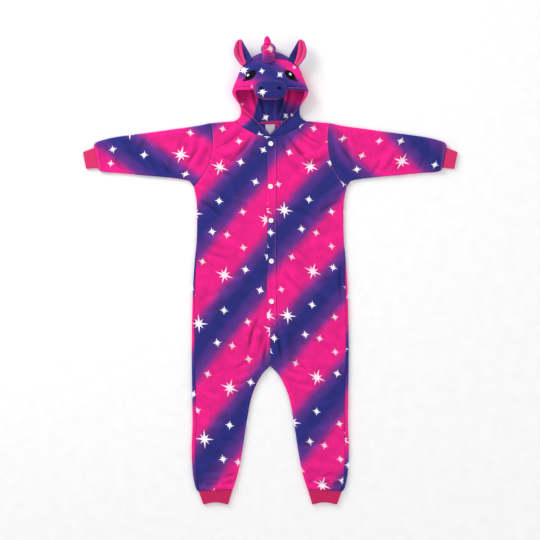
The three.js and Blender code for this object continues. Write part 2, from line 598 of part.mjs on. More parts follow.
// The way into the hood from its edge at a row, square to the outline.
const HOOD_INWARD = HOOD_ROWS.map((_, index) => {
  const before = HOOD_ROWS[Math.max(0, index - 1)];
  const after = HOOD_ROWS[Math.min(HOOD_ROWS.length - 1, index + 1)];
  const inward = new THREE.Vector3(-(after.edgeY - before.edgeY), after.edgeX - before.edgeX, 0).normalize();
  return index === HOOD_ROWS.length - 1 ? new THREE.Vector3(0, -1, 0) : inward;
});
HOOD_INWARD[0].set(-1, 0, 0);
const UP = new THREE.Vector3(0, 0, 1);
// Where the columns of the hood's face lie on each row: the neckline bends at a third and at two thirds.
const HOOD_TOP_STEPS = [0, 0.06, 0.17, 1 / 3, 0.5, 2 / 3, 0.84, 1];

// The upper side of the hood, from a row's edge (share 0) to its rim (share 1), at a depth inside the cloth.
function hoodTop(index, share, depth) {
  const row = HOOD_ROWS[index];
  const neck = necklinePoint(1 - share);
  const straightX = lerp(NECKLINE.at(-1).x, NECKLINE[0].x, share);
  const straightY = lerp(NECKLINE.at(-1).y, NECKLINE[0].y, share);
  const x = lerp(row.edgeX, row.rimX, share) + row.sag * (neck.x - straightX);
  const y = lerp(row.edgeY, row.rimY, share) + row.sag * (neck.y - straightY);
  const reach = Math.hypot(row.rimX - row.edgeX, row.rimY - row.edgeY);
  const inward = clamp01((share * reach) / Math.min(HOOD_ROUND, reach));
  const forehead = smoothstep(536, 552, row.edgeY);
  const top = lerp(row.rimZ, foreheadZ(x, y), forehead);
  const height = Math.sqrt(1 - (1 - inward) ** 2);
  const point = new THREE.Vector3(x, y, row.edgeZ + (top - row.edgeZ) * height);
  return point.addScaledVector(HOOD_INWARD[index], depth * (1 - inward)).addScaledVector(UP, -depth * height);
}

// The under side of the hood, from the middle of its back (share 0) to the row's edge (share 1).
function hoodUnder(index, share, depth) {
  const row = HOOD_ROWS[index];
  const x = row.edgeX * share;
  const y = lerp(row.backY, row.edgeY, share);
  const rising = clamp01((share - row.base) / (1 - row.base));
  const flatness = Math.sqrt(1 - rising ** 2);
  const point = new THREE.Vector3(x, y, row.edgeZ * (1 - flatness));
  return point.addScaledVector(HOOD_INWARD[index], depth * rising).addScaledVector(UP, depth * flatness);
}

// Keeps a piece's points on its own side of the middle seam, and mirrors them.
const sided = (grid, side) =>
  grid.map((line) => line.map((point) => [side * Math.max(SEAM_GAP / 2, point.x), point.y, point.z]));

function hoodFaceGrid(depth) {
  const half = HOOD_ROWS.map((row, index) => {
    const reach = Math.hypot(row.edgeX - row.rimX, row.edgeY - row.rimY);
    const crown = index >= CROWN_ROW;
    const seam = crown ? (row.edgeY - CROWN_SEAM_Y[index - CROWN_ROW]) / (row.edgeY - row.rimY) : 0;
    const gap = crown ? SEAM_GAP / 2 / reach : 0;
    return HOOD_TOP_STEPS.map((step) => {
      const point = hoodTop(index, lerp(seam + gap, 1, step), depth);
      if (!crown && step === 0) point.z += SEAM_GAP / 2;
      return point;
    });
  });
  const left = sided(half, 1).slice(0, -1);
  const right = sided(half, -1).slice(0, -1).reverse();
  const middle = half.at(-1).map((point) => [0, point.y, point.z]);
  return [...left, middle, ...right];
}

function hoodBackGrid(depth) {
  return HOOD_ROWS.map((row, index) => {
    const crown = index >= CROWN_ROW;
    const under = spread(0, 1, 8).map((step) => hoodUnder(index, 1 - (1 - step) ** 1.25, depth));
    if (!crown) {
      under.at(-1).z -= SEAM_GAP / 2;
      const last = under.at(-1);
      const before = under.at(-2);
      return [...under.slice(0, -1), ...[0.5, 0.75, 1].map((step) => before.clone().lerp(last, step))];
    }
    const seam = (row.edgeY - CROWN_SEAM_Y[index - CROWN_ROW]) / (row.edgeY - row.rimY);
    const reach = Math.hypot(row.edgeX - row.rimX, row.edgeY - row.rimY);
    const over = [0.5, 1].map((step) => hoodTop(index, Math.max(0, seam - SEAM_GAP / 2 / reach) * step, depth));
    return [...under, ...over];
  });
}

// ---------------------------------------------------------------------------------- what the hood is dressed with
// A soft pad over a plan outline: its underside follows one surface and its top bulges up from the outline.
function pad(name, material, outline, bottom, height, fullness, levels = 4) {
  const sectors = outline.length;
  const centre = outline.reduce((sum, [x, y]) => [sum[0] + x / sectors, sum[1] + y / sectors], [0, 0]);
  const at = (part, index) => {
    const [x, y] = outline[index];
    return [lerp(centre[0], x, part), lerp(centre[1], y, part)];
  };
  const ring = (part, lift) =>
    outline.map((_, index) => {
      const [x, y] = at(part, index);
      return [x, y, bottom(x, y) + lift];
    });
  const rings = [ring(0.55, 0), ring(0.96, 0)];
  for (const level of spread(0, 1, levels).slice(0, -1)) {
    const part = Math.cos(level * QUARTER) ** fullness;
    const lift = height * (0.28 + 0.72 * Math.sin(level * QUARTER));
    rings.push(ring(part, lift));
  }
  const [x, y] = centre;
  return rounded(name, material, [x, y, bottom(x, y)], rings, [x, y, bottom(x, y) + height]);
}

function ovalOutline(x, y, halfLong, halfWide, tilt, sectors) {
  return spread(0, 2 * Math.PI, sectors)
    .slice(0, -1)
    .map((angle) => {
      const long = halfLong * Math.cos(angle);
      const wide = halfWide * Math.sin(angle);
      return [
        x + long * Math.cos(tilt) - wide * Math.sin(tilt),
        y + long * Math.sin(tilt) + wide * Math.cos(tilt),
      ];
    });
}

function muzzleOutline() {
  return spread(0, 2 * Math.PI, 28)
    .slice(0, -1)
    .map((angle) => {
      const square = (value) => Math.sign(value) * Math.abs(value) ** 0.72;
      const reach = Math.sin(angle) > 0 ? MUZZLE.up : MUZZLE.down;
      const narrow = Math.sin(angle) > 0 ? 1 - 0.16 * Math.sin(angle) ** 2 : 1 - 0.1 * Math.sin(angle) ** 2;
      return [
        MUZZLE.x + MUZZLE.halfWidth * square(Math.cos(angle)) * narrow,
        MUZZLE.y + reach * square(Math.sin(angle)),
      ];
    });
}

const muzzleTop = (x, y) => {
  const aside = (x - MUZZLE.x) / MUZZLE.halfWidth;
  const along = (y - MUZZLE.y) / MUZZLE.up;
  const bulge = Math.sqrt(Math.max(0, 1 - (aside * aside + along * along) ** 1.4));
  return foreheadZ(x, y) + MUZZLE.lift + MUZZLE.height * (0.28 + 0.72 * bulge);
};

function faceDetails() {
  const onFace = (lift) => (x, y) => foreheadZ(x, y) + lift;
  const pieces = [pad('muzzle', FINISH.print, muzzleOutline(), onFace(MUZZLE.lift), MUZZLE.height, 0.8)];
  for (const [name, side] of [['left', 1], ['right', -1]]) {
    const eyeTilt = -side * EYE.tilt * DEGREE;
    const eye = ovalOutline(side * EYE.x, EYE.y, EYE.halfLong, EYE.halfWide, eyeTilt, 20);
    pieces.push(pad(`eye_${name}`, FINISH.black, eye, onFace(SEAM_GAP + 0.1), EYE.thick, 0.35, 2));
    const glint = ovalOutline(...GLINT[name], GLINT.halfLong, GLINT.halfWide, eyeTilt, 12);
    const glintLift = SEAM_GAP * 2 + 0.1 + EYE.thick;
    pieces.push(pad(`eye_glint_${name}`, FINISH.white, glint, onFace(glintLift), GLINT.thick, 0.35, 2));
    const nostrilX = side * NOSTRIL.x;
    const nostril = ovalOutline(nostrilX, NOSTRIL.y, NOSTRIL.halfWidth, NOSTRIL.halfHeight, 0, 12);
    const onMuzzle = (x, y) => muzzleTop(x, y) + SEAM_GAP + 0.3;
    pieces.push(pad(`nostril_${name}`, FINISH.black, nostril, onMuzzle, NOSTRIL.thick, 0.35, 2));
  }
  return pieces;
}

const mirrored = (grid, side) => grid.map((line) => line.map((point) => [side * point.x, point.y, point.z]));

// An ear is a shallow cup of printed cloth with a pink lining in it.
function earGrid(inset, lift) {
  const shares = spread(inset, 1 - inset, 6);
  return EAR_ROWS.map((row) =>
    shares.map((share) => {
      const x = lerp(row.inX, row.outX, share);
      const y = lerp(row.inY, row.outY, share);
      const hollow = row.cup * Math.sin(Math.PI * share);
      return new THREE.Vector3(x, y, row.z - hollow + lift);
    }),
  );
}

function ear(side, label) {
  const shell = earGrid(0, 0);
  const below = shell.map((line) => line.map((point) => point.clone().setZ(point.z - EAR.wall)));
  const trimmed = earGrid(EAR.liningInset, 2 * SEAM_GAP);
  const liningTop = trimmed.map((line) => line.map((point) => point.clone().setZ(point.z + EAR.lining)));
  return [
    wall(`ear_${label}`, FINISH.print, mirrored(shell, side), mirrored(below, side), side < 0),
    wall(`ear_lining_${label}`, FINISH.pink, mirrored(liningTop, side), mirrored(trimmed, side), side < 0),
  ];
}

function horn() {
  const [base, bend, tip] = [HORN.base, HORN.bend, HORN.tip].map((point) => new THREE.Vector3(...point));
  const spine = new THREE.QuadraticBezierCurve3(base, bend, tip);
  const rings = HORN_RINGS.map(({ along, radius }) => {
    const centre = spine.getPoint(along);
    const axis = spine.getTangent(along);
    const sideways = new THREE.Vector3(1, 0, 0).addScaledVector(axis, -axis.x).normalize();
    const upward = sideways.clone().cross(axis).normalize();
    return spread(0, 2 * Math.PI, HORN.sides)
      .slice(0, -1)
      .map((angle) => {
        const point = centre.clone();
        point.addScaledVector(sideways, radius * Math.cos(angle));
        point.addScaledVector(upward, radius * Math.sin(angle));
        return point.toArray();
      });
  });
  return rounded('horn', FINISH.print, spine.getPoint(HORN_RINGS[0].along).toArray(), rings, tip.toArray(), true);
}

function mane() {
  const outline = spread(0, 2 * Math.PI, 20)
    .slice(0, -1)
    .map((angle) => {
      const reach = Math.sin(angle) > 0 ? MANE.front : MANE.back;
      return [MANE.x + MANE.halfWidth * Math.cos(angle), MANE.y + reach * Math.sin(angle)];
    });
  const low = () => MANE.lowZ;
  return pad('mane', FINISH.purple, outline, low, MANE.topZ - MANE.lowZ, 0.6);
}

// --------------------------------------------------------------------------------------------------- assembly
const garment = new THREE.Group();
for (const [label, side] of [['left', 1], ['right', -1]]) {
  garment.add(panel(`front_${label}`, side, false, 7, 3, 3));
  garment.add(panel(`back_${label}`, side, true, 3, 3, 4));
  garment.add(sleeve(`sleeve_${label}`, side));
  garment.add(wristCuff(`wrist_cuff_${label}`, side));
  garment.add(ankleCuff(`ankle_cuff_${label}`, side));
  const hoodBack = [0, FLEECE].map((depth) => sided(hoodBackGrid(depth), side));
  garment.add(wall(`hood_back_${label}`, FINISH.print, ...hoodBack, side > 0));
  garment.add(...ear(side, label));
}
garment.add(placket());
BUTTON_PLACES.forEach((place, index) => garment.add(button(`button_${index + 1}`, place)));
garment.add(wall('hood_face', FINISH.print, hoodFaceGrid(0), hoodFaceGrid(FLEECE), true));
garment.add(...faceDetails(), horn(), mane());
const neckFloor = FLEECE + SEAM_GAP;
const tapeLow = NECK_TAPE.y - NECK_TAPE.wide / 2;
const tapeHigh = NECK_TAPE.y + NECK_TAPE.wide / 2;
const tape = plate('neck_tape', FINISH.cuff, NECK_TAPE.left, NECK_TAPE.right, tapeLow, tapeHigh, neckFloor, NECK_TAPE.thick);
const label = plate('label', FINISH.label, LABEL.left, LABEL.right, LABEL.bottom, LABEL.top, neckFloor, LABEL.thick);
garment.add(tape, label);

export default garment;
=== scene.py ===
"""A child's fleece unicorn onesie laid flat on its back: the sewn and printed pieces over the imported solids.

Sizes are in millimetres and become metres when a mesh is made. +X is the wearer's left, +Y runs from the
ankles to the hood and +Z is up from the surface that the garment lies on.
"""
import logging
import math
from dataclasses import dataclass, field
from enum import Enum
from typing import Callable, Sequence

import bpy
import numpy as np
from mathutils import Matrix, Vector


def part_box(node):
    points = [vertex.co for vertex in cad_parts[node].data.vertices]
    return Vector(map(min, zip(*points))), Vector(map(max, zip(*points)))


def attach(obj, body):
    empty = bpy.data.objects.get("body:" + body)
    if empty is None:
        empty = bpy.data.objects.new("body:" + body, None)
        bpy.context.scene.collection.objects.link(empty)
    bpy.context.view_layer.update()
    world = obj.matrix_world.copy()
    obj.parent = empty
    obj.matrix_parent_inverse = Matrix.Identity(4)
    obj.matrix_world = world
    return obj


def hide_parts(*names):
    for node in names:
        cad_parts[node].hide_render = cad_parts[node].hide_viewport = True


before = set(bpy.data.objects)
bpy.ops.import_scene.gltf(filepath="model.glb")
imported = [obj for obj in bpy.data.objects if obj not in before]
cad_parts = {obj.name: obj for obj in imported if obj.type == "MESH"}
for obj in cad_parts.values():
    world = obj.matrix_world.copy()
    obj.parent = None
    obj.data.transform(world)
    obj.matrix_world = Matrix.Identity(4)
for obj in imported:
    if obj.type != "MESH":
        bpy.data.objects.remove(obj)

LOG = logging.getLogger("onesie")
MM = 0.001
ROOT = "root"

FLEECE = 3.0
HALF_STACK = 4.75
FRONT_TOP = 2 * HALF_STACK
SEAM_GAP = 0.3
QUARTER = math.pi / 2
SEAM_REACH = 4.5
SEAM_DEPTH = 1.25
SEAM_SHADE = 0.22
PUCKER = 0.6
PUCKER_PITCH = 13.0
HOLLOW_SHADE = 0.42
EASE_ROUNDS = 4

Colour = tuple[float, float, float]
Plan = Callable[[np.ndarray, np.ndarray], np.ndarray]


class Slot(Enum):
    """The material slots of the record."""

    PRINT = "print_fleece"
    RIB = "rib_knit"
    LINING = "ear_lining"
    MANE = "mane_fleece"
    BLACK = "black_felt"
    WHITE = "white_felt"
    BUTTON = "button_resin"
    LABEL = "label_tape"


class Side(Enum):
    """The wearer's two sides, by the sign of x."""

    LEFT = 1
    RIGHT = -1

    @property
    def word(self) -> str:
        """The side's name as it stands in a piece's name."""
        return self.name.lower()


# ------------------------------------------------------------------------------------------------ small functions
def smoothstep(low: float, high: float, value: np.ndarray | float) -> np.ndarray | float:
    """Goes smoothly from 0 at low to 1 at high.

    Args:
        low: Where it is still 0.
        high: Where it has become 1.
        value: The places asked for.

    Returns:
        A share from 0 to 1 for each place.
    """
    part = np.clip((value - low) / (high - low), 0.0, 1.0)
    return part * part * (3 - 2 * part)


def lerp(start: float, end: float, part: np.ndarray | float) -> np.ndarray | float:
    """Goes straight from start to end as part goes from 0 to 1."""
    return start + (end - start) * part


def bell(distance: np.ndarray, width: float) -> np.ndarray:
    """A soft hump: 1 at no distance, and nearly 0 past twice the width."""
    return np.exp(-((distance / width) ** 2))


def near_edges(start: float, end: float, count: int) -> np.ndarray:
    """Places from start to end, close together near both ends so that the edges can be rounded.

    Args:
        start: The first place.
        end: The last place.
        count: How many even places lie between the two fine ends.

    Returns:
        The places in order.
    """
    fine = np.array([0.0, 0.5, 1.2, 2.2, 3.4, 4.8])
    return np.concatenate([start + fine, np.linspace(start + 6.5, end - 6.5, count), end - fine[::-1]])


class SeamLine:
    """A smooth line through a few points, read by its share of the length or by its height."""

    def __init__(self, points: Sequence[Sequence[float]], samples: int = 60) -> None:
        """Fits the line.

        Args:
            points: The points it goes through, with two numbers or more each.
            samples: How many short steps each stretch is cut into.
        """
        knots = np.array(points, float)
        knots = np.vstack([2 * knots[0] - knots[1], knots, 2 * knots[-1] - knots[-2]])
        parts = np.linspace(0, 1, samples, endpoint=False)[:, None]
        pieces = []
        for before, start, end, after in zip(knots, knots[1:], knots[2:], knots[3:]):
            first, middle, last = (
                float(np.sum((b - a) ** 2)) ** 0.25 for a, b in ((before, start), (start, end), (end, after))
            )
            leave = (start - before) / first - (end - before) / (first + middle) + (end - start) / middle
            arrive = (end - start) / middle - (after - start) / (middle + last) + (after - end) / last
            leave, arrive = leave * middle, arrive * middle
            square = -3 * start + 3 * end - 2 * leave - arrive
            cube = 2 * start - 2 * end + leave + arrive
            pieces.append(start + leave * parts + square * parts**2 + cube * parts**3)
        self.points = np.vstack([*pieces, knots[-2][None]])
        steps = np.linalg.norm(np.diff(self.points, axis=0), axis=1)
        self.lengths = np.concatenate([[0.0], np.cumsum(steps)])
        self.length = float(self.lengths[-1])

    def at(self, part: float) -> np.ndarray:
        """The point at a share of the length."""
        place = part * self.length
        return np.array([np.interp(place, self.lengths, axis) for axis in self.points.T])

    def at_height(self, y: float) -> np.ndarray:
        """The point at a height y, on a line that rises all the way."""
        return np.array([np.interp(y, self.points[:, 1], axis) for axis in self.points.T])


def by_share(table: Sequence[float], count: int) -> np.ndarray:
    """Reads a column of a table of rows at count even places, smoothly."""
    line = SeamLine([(index * 10.0, value) for index, value in enumerate(table)])
    wanted = np.linspace(0, (len(table) - 1) * 10.0, count)
    return np.interp(wanted, line.points[:, 0], line.points[:, 1])


# --------------------------------------------------------------------------------------------------- cloth grids
@dataclass
class Skin:
    """A wall of cloth between two grids of points, with the place of its print.

    Attributes:
        outer: The outer face, as rows of points.
        inner: The inner face, in the same layout.
        cell: Where each outer point lies in the printed repeat; a tube has one column more.
        band: The colour phase of the printed bands at each point; a tube has one column more.
        tube: True where each row closes on itself.
        shade: The painted shade of each outer point where it rolls into a seam.
        reach: How wide the dips are that get painted shade, in millimetres.
    """

    outer: np.ndarray
    inner: np.ndarray
    cell: np.ndarray
    band: np.ndarray
    tube: bool = False
    shade: np.ndarray | None = None
    reach: float = 7.0

    def painted_dip_shade(self, face: np.ndarray, back: np.ndarray) -> np.ndarray:
        """The painted shade of each point: more shade where it lies lower than the cloth round it, or at a seam.

        Args:
            face: The grid that is asked about.
            back: The wall's other face.

        Returns:
            The painted shade as a share of the light for each point; below zero it is a painted highlight where the
            cloth stands out.
        """
        soft = face.copy()
        for axis in (0, 1):
            spacing = float(np.median(np.linalg.norm(np.diff(face, axis=axis), axis=2)))
            ring = self.tube and axis == 1
            for _ in range(int(np.clip(2 * (self.reach / max(spacing, 0.1)) ** 2, 4, 90))):
                pads = ((1, 1), (0, 0), (0, 0)) if axis == 0 else ((0, 0), (1, 1), (0, 0))
                padded = np.pad(soft, pads, mode="wrap" if ring else "edge")
                low, high = (padded[:-2], padded[2:]) if axis == 0 else (padded[:, :-2], padded[:, 2:])
                soft = (low + 2 * soft + high) / 4
        away = face - back
        away /= np.maximum(np.linalg.norm(away, axis=2, keepdims=True), 1e-6)
        # Painted shade in dips of the cloth, clipped; ridges get a faint painted highlight.
        shade = np.clip(((soft - face) * away).sum(axis=2) * HOLLOW_SHADE, -0.12, 0.5)
        shade = shade if self.shade is None else shade + self.shade
        return np.concatenate([shade, shade[:, :1]], axis=1) if self.tube else shade

    def round_edges(self, reach: float = SEAM_REACH, depth: float = SEAM_DEPTH, sides: str = "tblr") -> None:
        """Rolls the outer face down towards the edges, as cloth does where it turns into a seam, and paints shade
        along them.

        Args:
            reach: How far from the edge the roll begins.
            depth: How far it goes down at the edge.
            sides: The edges that are rolled: t and b for the first and last row, l and r for the columns.
        """
        down = np.linalg.norm(np.diff(self.outer, axis=0), axis=2)
        across = np.linalg.norm(np.diff(self.outer, axis=1), axis=2)
        zero_row = np.zeros((1, self.outer.shape[1]))
        zero_column = np.zeros((self.outer.shape[0], 1))
        ways = {
            "t": np.vstack([zero_row, np.cumsum(down, axis=0)]),
            "b": np.vstack([np.cumsum(down[::-1], axis=0)[::-1], zero_row]),
            "l": np.hstack([zero_column, np.cumsum(across, axis=1)]),
            "r": np.hstack([np.cumsum(across[:, ::-1], axis=1)[:, ::-1], zero_column]),
        }
        inward = self.inner - self.outer
        inward /= np.maximum(np.linalg.norm(inward, axis=2, keepdims=True), 1e-6)
        shade = np.zeros(self.outer.shape[:2])
        for name in sides:
            part = np.clip(1 - ways[name] / reach, 0, 1)
            # Painted shade along the rolled edge.
            shade = np.maximum(shade, SEAM_SHADE * part**3)
            self.outer += inward * (depth * (1 - np.sqrt(1 - part * part)))[:, :, None]
        self.shade = shade

    def cut_size(self) -> tuple[tuple[float, float], float]:
        """The piece laid out flat: (width, length) and area, in metres."""
        rows = np.linalg.norm(np.diff(self.outer, axis=1), axis=2).sum(axis=1)
        if self.tube:
            rows = rows + np.linalg.norm(self.outer[:, 0] - self.outer[:, -1], axis=1)
        columns = np.linalg.norm(np.diff(self.outer, axis=0), axis=2).sum(axis=0)
        width, length = float(rows.max()) * MM, float(columns.max()) * MM
        area = float(rows.mean()) * float(columns.mean()) * MM * MM
        return (width, length), min(area, width * length)


def signed_volume(points: np.ndarray, quads: np.ndarray) -> float:
    """Six times the volume inside a closed mesh of quads, below zero if its faces point in."""
    a, b, c, d = (points[quads[:, corner]] for corner in range(4))
    return float((np.cross(a, b) * c).sum() + (np.cross(a, c) * d).sum())


def make_mesh(
    name: str,
    points: np.ndarray,
    faces: list[tuple[int, ...]],
    material: bpy.types.Material,
    maps: dict[str, list[tuple[float, float]]] | None = None,
) -> bpy.types.Object:
    """Makes one smooth piece that rides on the garment.

    Args:
        name: The piece's name.
        points: Its points in millimetres.
        faces: Its faces, by number of point.
        material: Its finish.
        maps: For each named map, one place for each corner of each face.

    Returns:
        The new object.
    """
    mesh = bpy.data.meshes.new(name)
    mesh.from_pydata((points * MM).tolist(), [], faces)
    for map_name, places in (maps or {}).items():
        layer = mesh.uv_layers.new(name=map_name)
        layer.data.foreach_set("uv", np.array(places, np.float32).ravel())
    mesh.polygons.foreach_set("use_smooth", [True] * len(mesh.polygons))
    mesh.materials.append(material)
    mesh.update()
    made = bpy.data.objects.new(name, mesh)
    bpy.context.scene.collection.objects.link(made)
    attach(made, ROOT)
    LOG.info("%s: %d faces", name, len(mesh.polygons))
    return made


def make_cloth(name: str, skin: Skin, material: bpy.types.Material, slot: Slot, node: str) -> bpy.types.Object:
    """Makes a closed wall of cloth from a skin, and puts it in the place of its solid.

    Args:
        name: The piece's name.
        skin: The wall and its print.
        material: Its finish.
        slot: The record's material slot; not used.
        node: The solid that it stands for.

    Returns:
        The new object.
    """
    rows, columns = skin.outer.shape[:2]
    points = np.concatenate([skin.outer.reshape(-1, 3), skin.inner.reshape(-1, 3)])
    wrap = columns if skin.tube else columns - 1
    row, column = (axis.ravel() for axis in np.meshgrid(np.arange(rows - 1), np.arange(wrap), indexing="ij"))
    layer = rows * columns
    map_columns = skin.band.shape[1]
    map_layer = skin.band.size

    def face_set(corners: list[tuple[np.ndarray, np.ndarray, int]]) -> tuple[np.ndarray, np.ndarray]:
        """The point numbers and the map numbers of a set of quads, corner by corner."""
        numbers = [inside * layer + r * columns + c % columns for r, c, inside in corners]
        places = [inside * map_layer + r * map_columns + c for r, c, inside in corners]
        return np.stack(numbers, axis=1), np.stack(places, axis=1)

    last_row = np.full(wrap, rows - 1)
    first_row = np.zeros(wrap, int)
    along = np.arange(wrap)
    sets = [
        face_set([(row, column, 0), (row, column + 1, 0), (row + 1, column + 1, 0), (row + 1, column, 0)]),
        face_set([(row, column, 1), (row + 1, column, 1), (row + 1, column + 1, 1), (row, column + 1, 1)]),
        face_set([(first_row, along, 0), (first_row, along, 1), (first_row, along + 1, 1), (first_row, along + 1, 0)]),
        face_set([(last_row, along, 0), (last_row, along + 1, 0), (last_row, along + 1, 1), (last_row, along, 1)]),
    ]
    if not skin.tube:
        down = np.arange(rows - 1)
        left, right = np.zeros(rows - 1, int), np.full(rows - 1, columns - 1)
        sets.append(face_set([(down, left, 0), (down + 1, left, 0), (down + 1, left, 1), (down, left, 1)]))
        sets.append(face_set([(down, right, 0), (down, right, 1), (down + 1, right, 1), (down + 1, right, 0)]))
    quads = np.concatenate([numbers for numbers, _ in sets])
    places = np.concatenate([numbers for _, numbers in sets])
    if signed_volume(points, quads) < 0:
        quads, places = quads[:, ::-1], places[:, ::-1]
    # The band map carries the print's phase in u and the painted shade of dips and seams in v.
    shades = [skin.painted_dip_shade(skin.outer, skin.inner).ravel(), skin.painted_dip_shade(skin.inner, skin.outer).ravel()]
    cells = skin.cell.reshape(-1, 2)[places.ravel() % map_layer]
    bands = np.stack([skin.band.ravel()[places.ravel() % map_layer], np.concatenate(shades)[places.ravel()]], axis=1)
    made = make_mesh(name, points, quads.tolist(), material, {"cell": cells, "band": bands})
    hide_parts(node)
    return made


def make_rounded(
    name: str,
    start: np.ndarray,
    rings: np.ndarray,
    end: np.ndarray,
    material: bpy.types.Material,
    place: "PrintPlace | None" = None,
    band: Plan | None = None,
    shade: np.ndarray | None = None,
) -> bpy.types.Object:
    """Makes a closed skin over rings of points, with a point at its start and a point at its end.

    Args:
        name: The piece's name.
        start: The first point.
        rings: The rings, each with the same number of points.
        end: The last point.
        material: Its finish.
        place: Where the print lies on it, if it is printed.
        band: The phase of its bands in plan, if it is printed.
        shade: The painted shade of each point of the rings, if it is printed.

    Returns:
        The new object.
    """
    count, columns = rings.shape[:2]
    points = np.concatenate([start[None], rings.reshape(-1, 3), end[None]])
    last = len(points) - 1
    faces: list[tuple[int, ...]] = []
    for column in range(columns):
        after = (column + 1) % columns
        faces.append((0, 1 + after, 1 + column))
        for ring in range(count - 1):
            low, high = 1 + ring * columns, 1 + (ring + 1) * columns
            faces.append((low + column, low + after, high + after, high + column))
        top = 1 + (count - 1) * columns
        faces.append((top + column, top + after, last))
    size = sum(float(np.dot(np.cross(points[f[0]], points[f[1]]), points[f[2]])) for f in faces)
    size += sum(float(np.dot(np.cross(points[f[0]], points[f[2]]), points[f[3]])) for f in faces if len(f) > 3)
    if size < 0:
        faces = [face[::-1] for face in faces]
    maps = None
    if place is not None and band is not None:
        numbers = [number for face in faces for number in face]
        corners = points[numbers]
        phases = band(corners[:, 0], corners[:, 1])
        # Painted shade for each point, carried in the band map's v.
        painted_ring_shade = np.zeros(len(points))
        if shade is not None:
            painted_ring_shade[1:-1] = shade.ravel()
        maps = {
            "cell": place.cell(corners[:, 0], corners[:, 1]),
            "band": np.stack([phases, painted_ring_shade[numbers]], axis=1),
        }
    return make_mesh(name, points, faces, material, maps)


# ------------------------------------------------------------------------------------------------------ the print
@dataclass(frozen=True)
class PrintPlace:
    """How the printed repeat lies on a piece, in plan.

    Attributes:
        origin: Where an upright big star's centre lies.
        across: The step from that star to the next one across the cloth.
        down: The step from that star to the next one down the cloth.
        ease: How far the cloth is drawn at one step down; it grows with the square of the steps.
        offset: What is taken from the sum of both shares to give the phase of the bands.
    """

    origin: tuple[float, float]
    across: tuple[float, float]
    down: tuple[float, float]
    ease: tuple[float, float] = (0.0, 0.0)
    offset: float = 0.17

    def cell(self, x: np.ndarray, y: np.ndarray) -> np.ndarray:
        """The shares of both steps at each place."""
        shares = np.linalg.inv(np.array([self.across, self.down]))
        moved = np.stack([x - self.origin[0], y - self.origin[1]], axis=-1)
        cell = moved @ shares
        for _ in range(EASE_ROUNDS):
            cell = (moved - cell[..., 1:] ** 2 * np.array(self.ease)) @ shares
        return cell

    def phase(self, cell: np.ndarray) -> np.ndarray:
        """The phase of the bands at each place of the repeat."""
        return cell[..., 0] + cell[..., 1] - self.offset


@dataclass(frozen=True)
class Star:
    """One printed star: its place, half its longest ray, its turn in degrees, and how white it is."""

    across: float
    down: float
    reach: float
    turn: float = 0.0
    white: float = 1.0


REPEAT_STARS = (
    Star(0.0, 0.0, 27.5),
    Star(0.3, 0.55, 27.0, 18.0),
    Star(0.78, 1.02, 25.0, 24.0, 0.9),
    Star(0.28, 0.87, 13.5, 6.0),
    Star(0.19, 0.16, 13.5, -10.0),
    Star(0.53, 0.49, 13.5, 12.0),
    Star(0.68, 0.67, 13.5, 20.0),
    Star(0.84, 0.23, 14.5),
    Star(0.78, 0.36, 13.0, 30.0, 0.95),
    Star(0.53, 0.96, 12.5, -14.0, 0.8),
    Star(0.35, 0.18, 12.5, 10.0, 0.8),
    Star(0.52, 0.29, 12.5, -8.0, 0.8),
    Star(0.07, 0.44, 12.5, 16.0, 0.8),
    Star(0.94, 0.76, 12.0, -20.0, 0.8),
)
REPEAT_SIZE = (270.0, 322.0)
HOOD_UNIT = 100.0
HOOD_STARS = (
    Star(-0.79, 6.01, 17.0, 20.0),
    Star(-0.25, 5.98, 10.5, 12.0, 0.85),
    Star(0.29, 5.87, 12.0, 40.0, 0.9),
    Star(-0.55, 5.52, 5.5, 0.0, 0.9),
    Star(-0.23, 5.34, 16.0, 8.0),
    Star(-0.14, 4.62, 13.0, 32.0),
    Star(-0.32, 4.08, 13.0, 10.0),
    Star(0.47, 4.67, 11.0, 40.0),
    Star(0.65, 4.68, 6.5, 20.0, 0.8),
    Star(0.01, 6.62, 14.0, 10.0, 0.95),
    Star(0.72, 6.1, 8.0, 15.0, 0.55),
    Star(-0.86, 5.0, 7.0, 15.0, 0.5),
)


def linear(red: int, green: int, blue: int) -> tuple[float, float, float, float]:
    """A colour given as it looks on a screen, 0 to 255, as the light that Blender works in."""
    parts = [value / 255 for value in (red, green, blue)]
    return (*(p / 12.92 if p <= 0.04045 else ((p + 0.055) / 1.055) ** 2.4 for p in parts), 1.0)


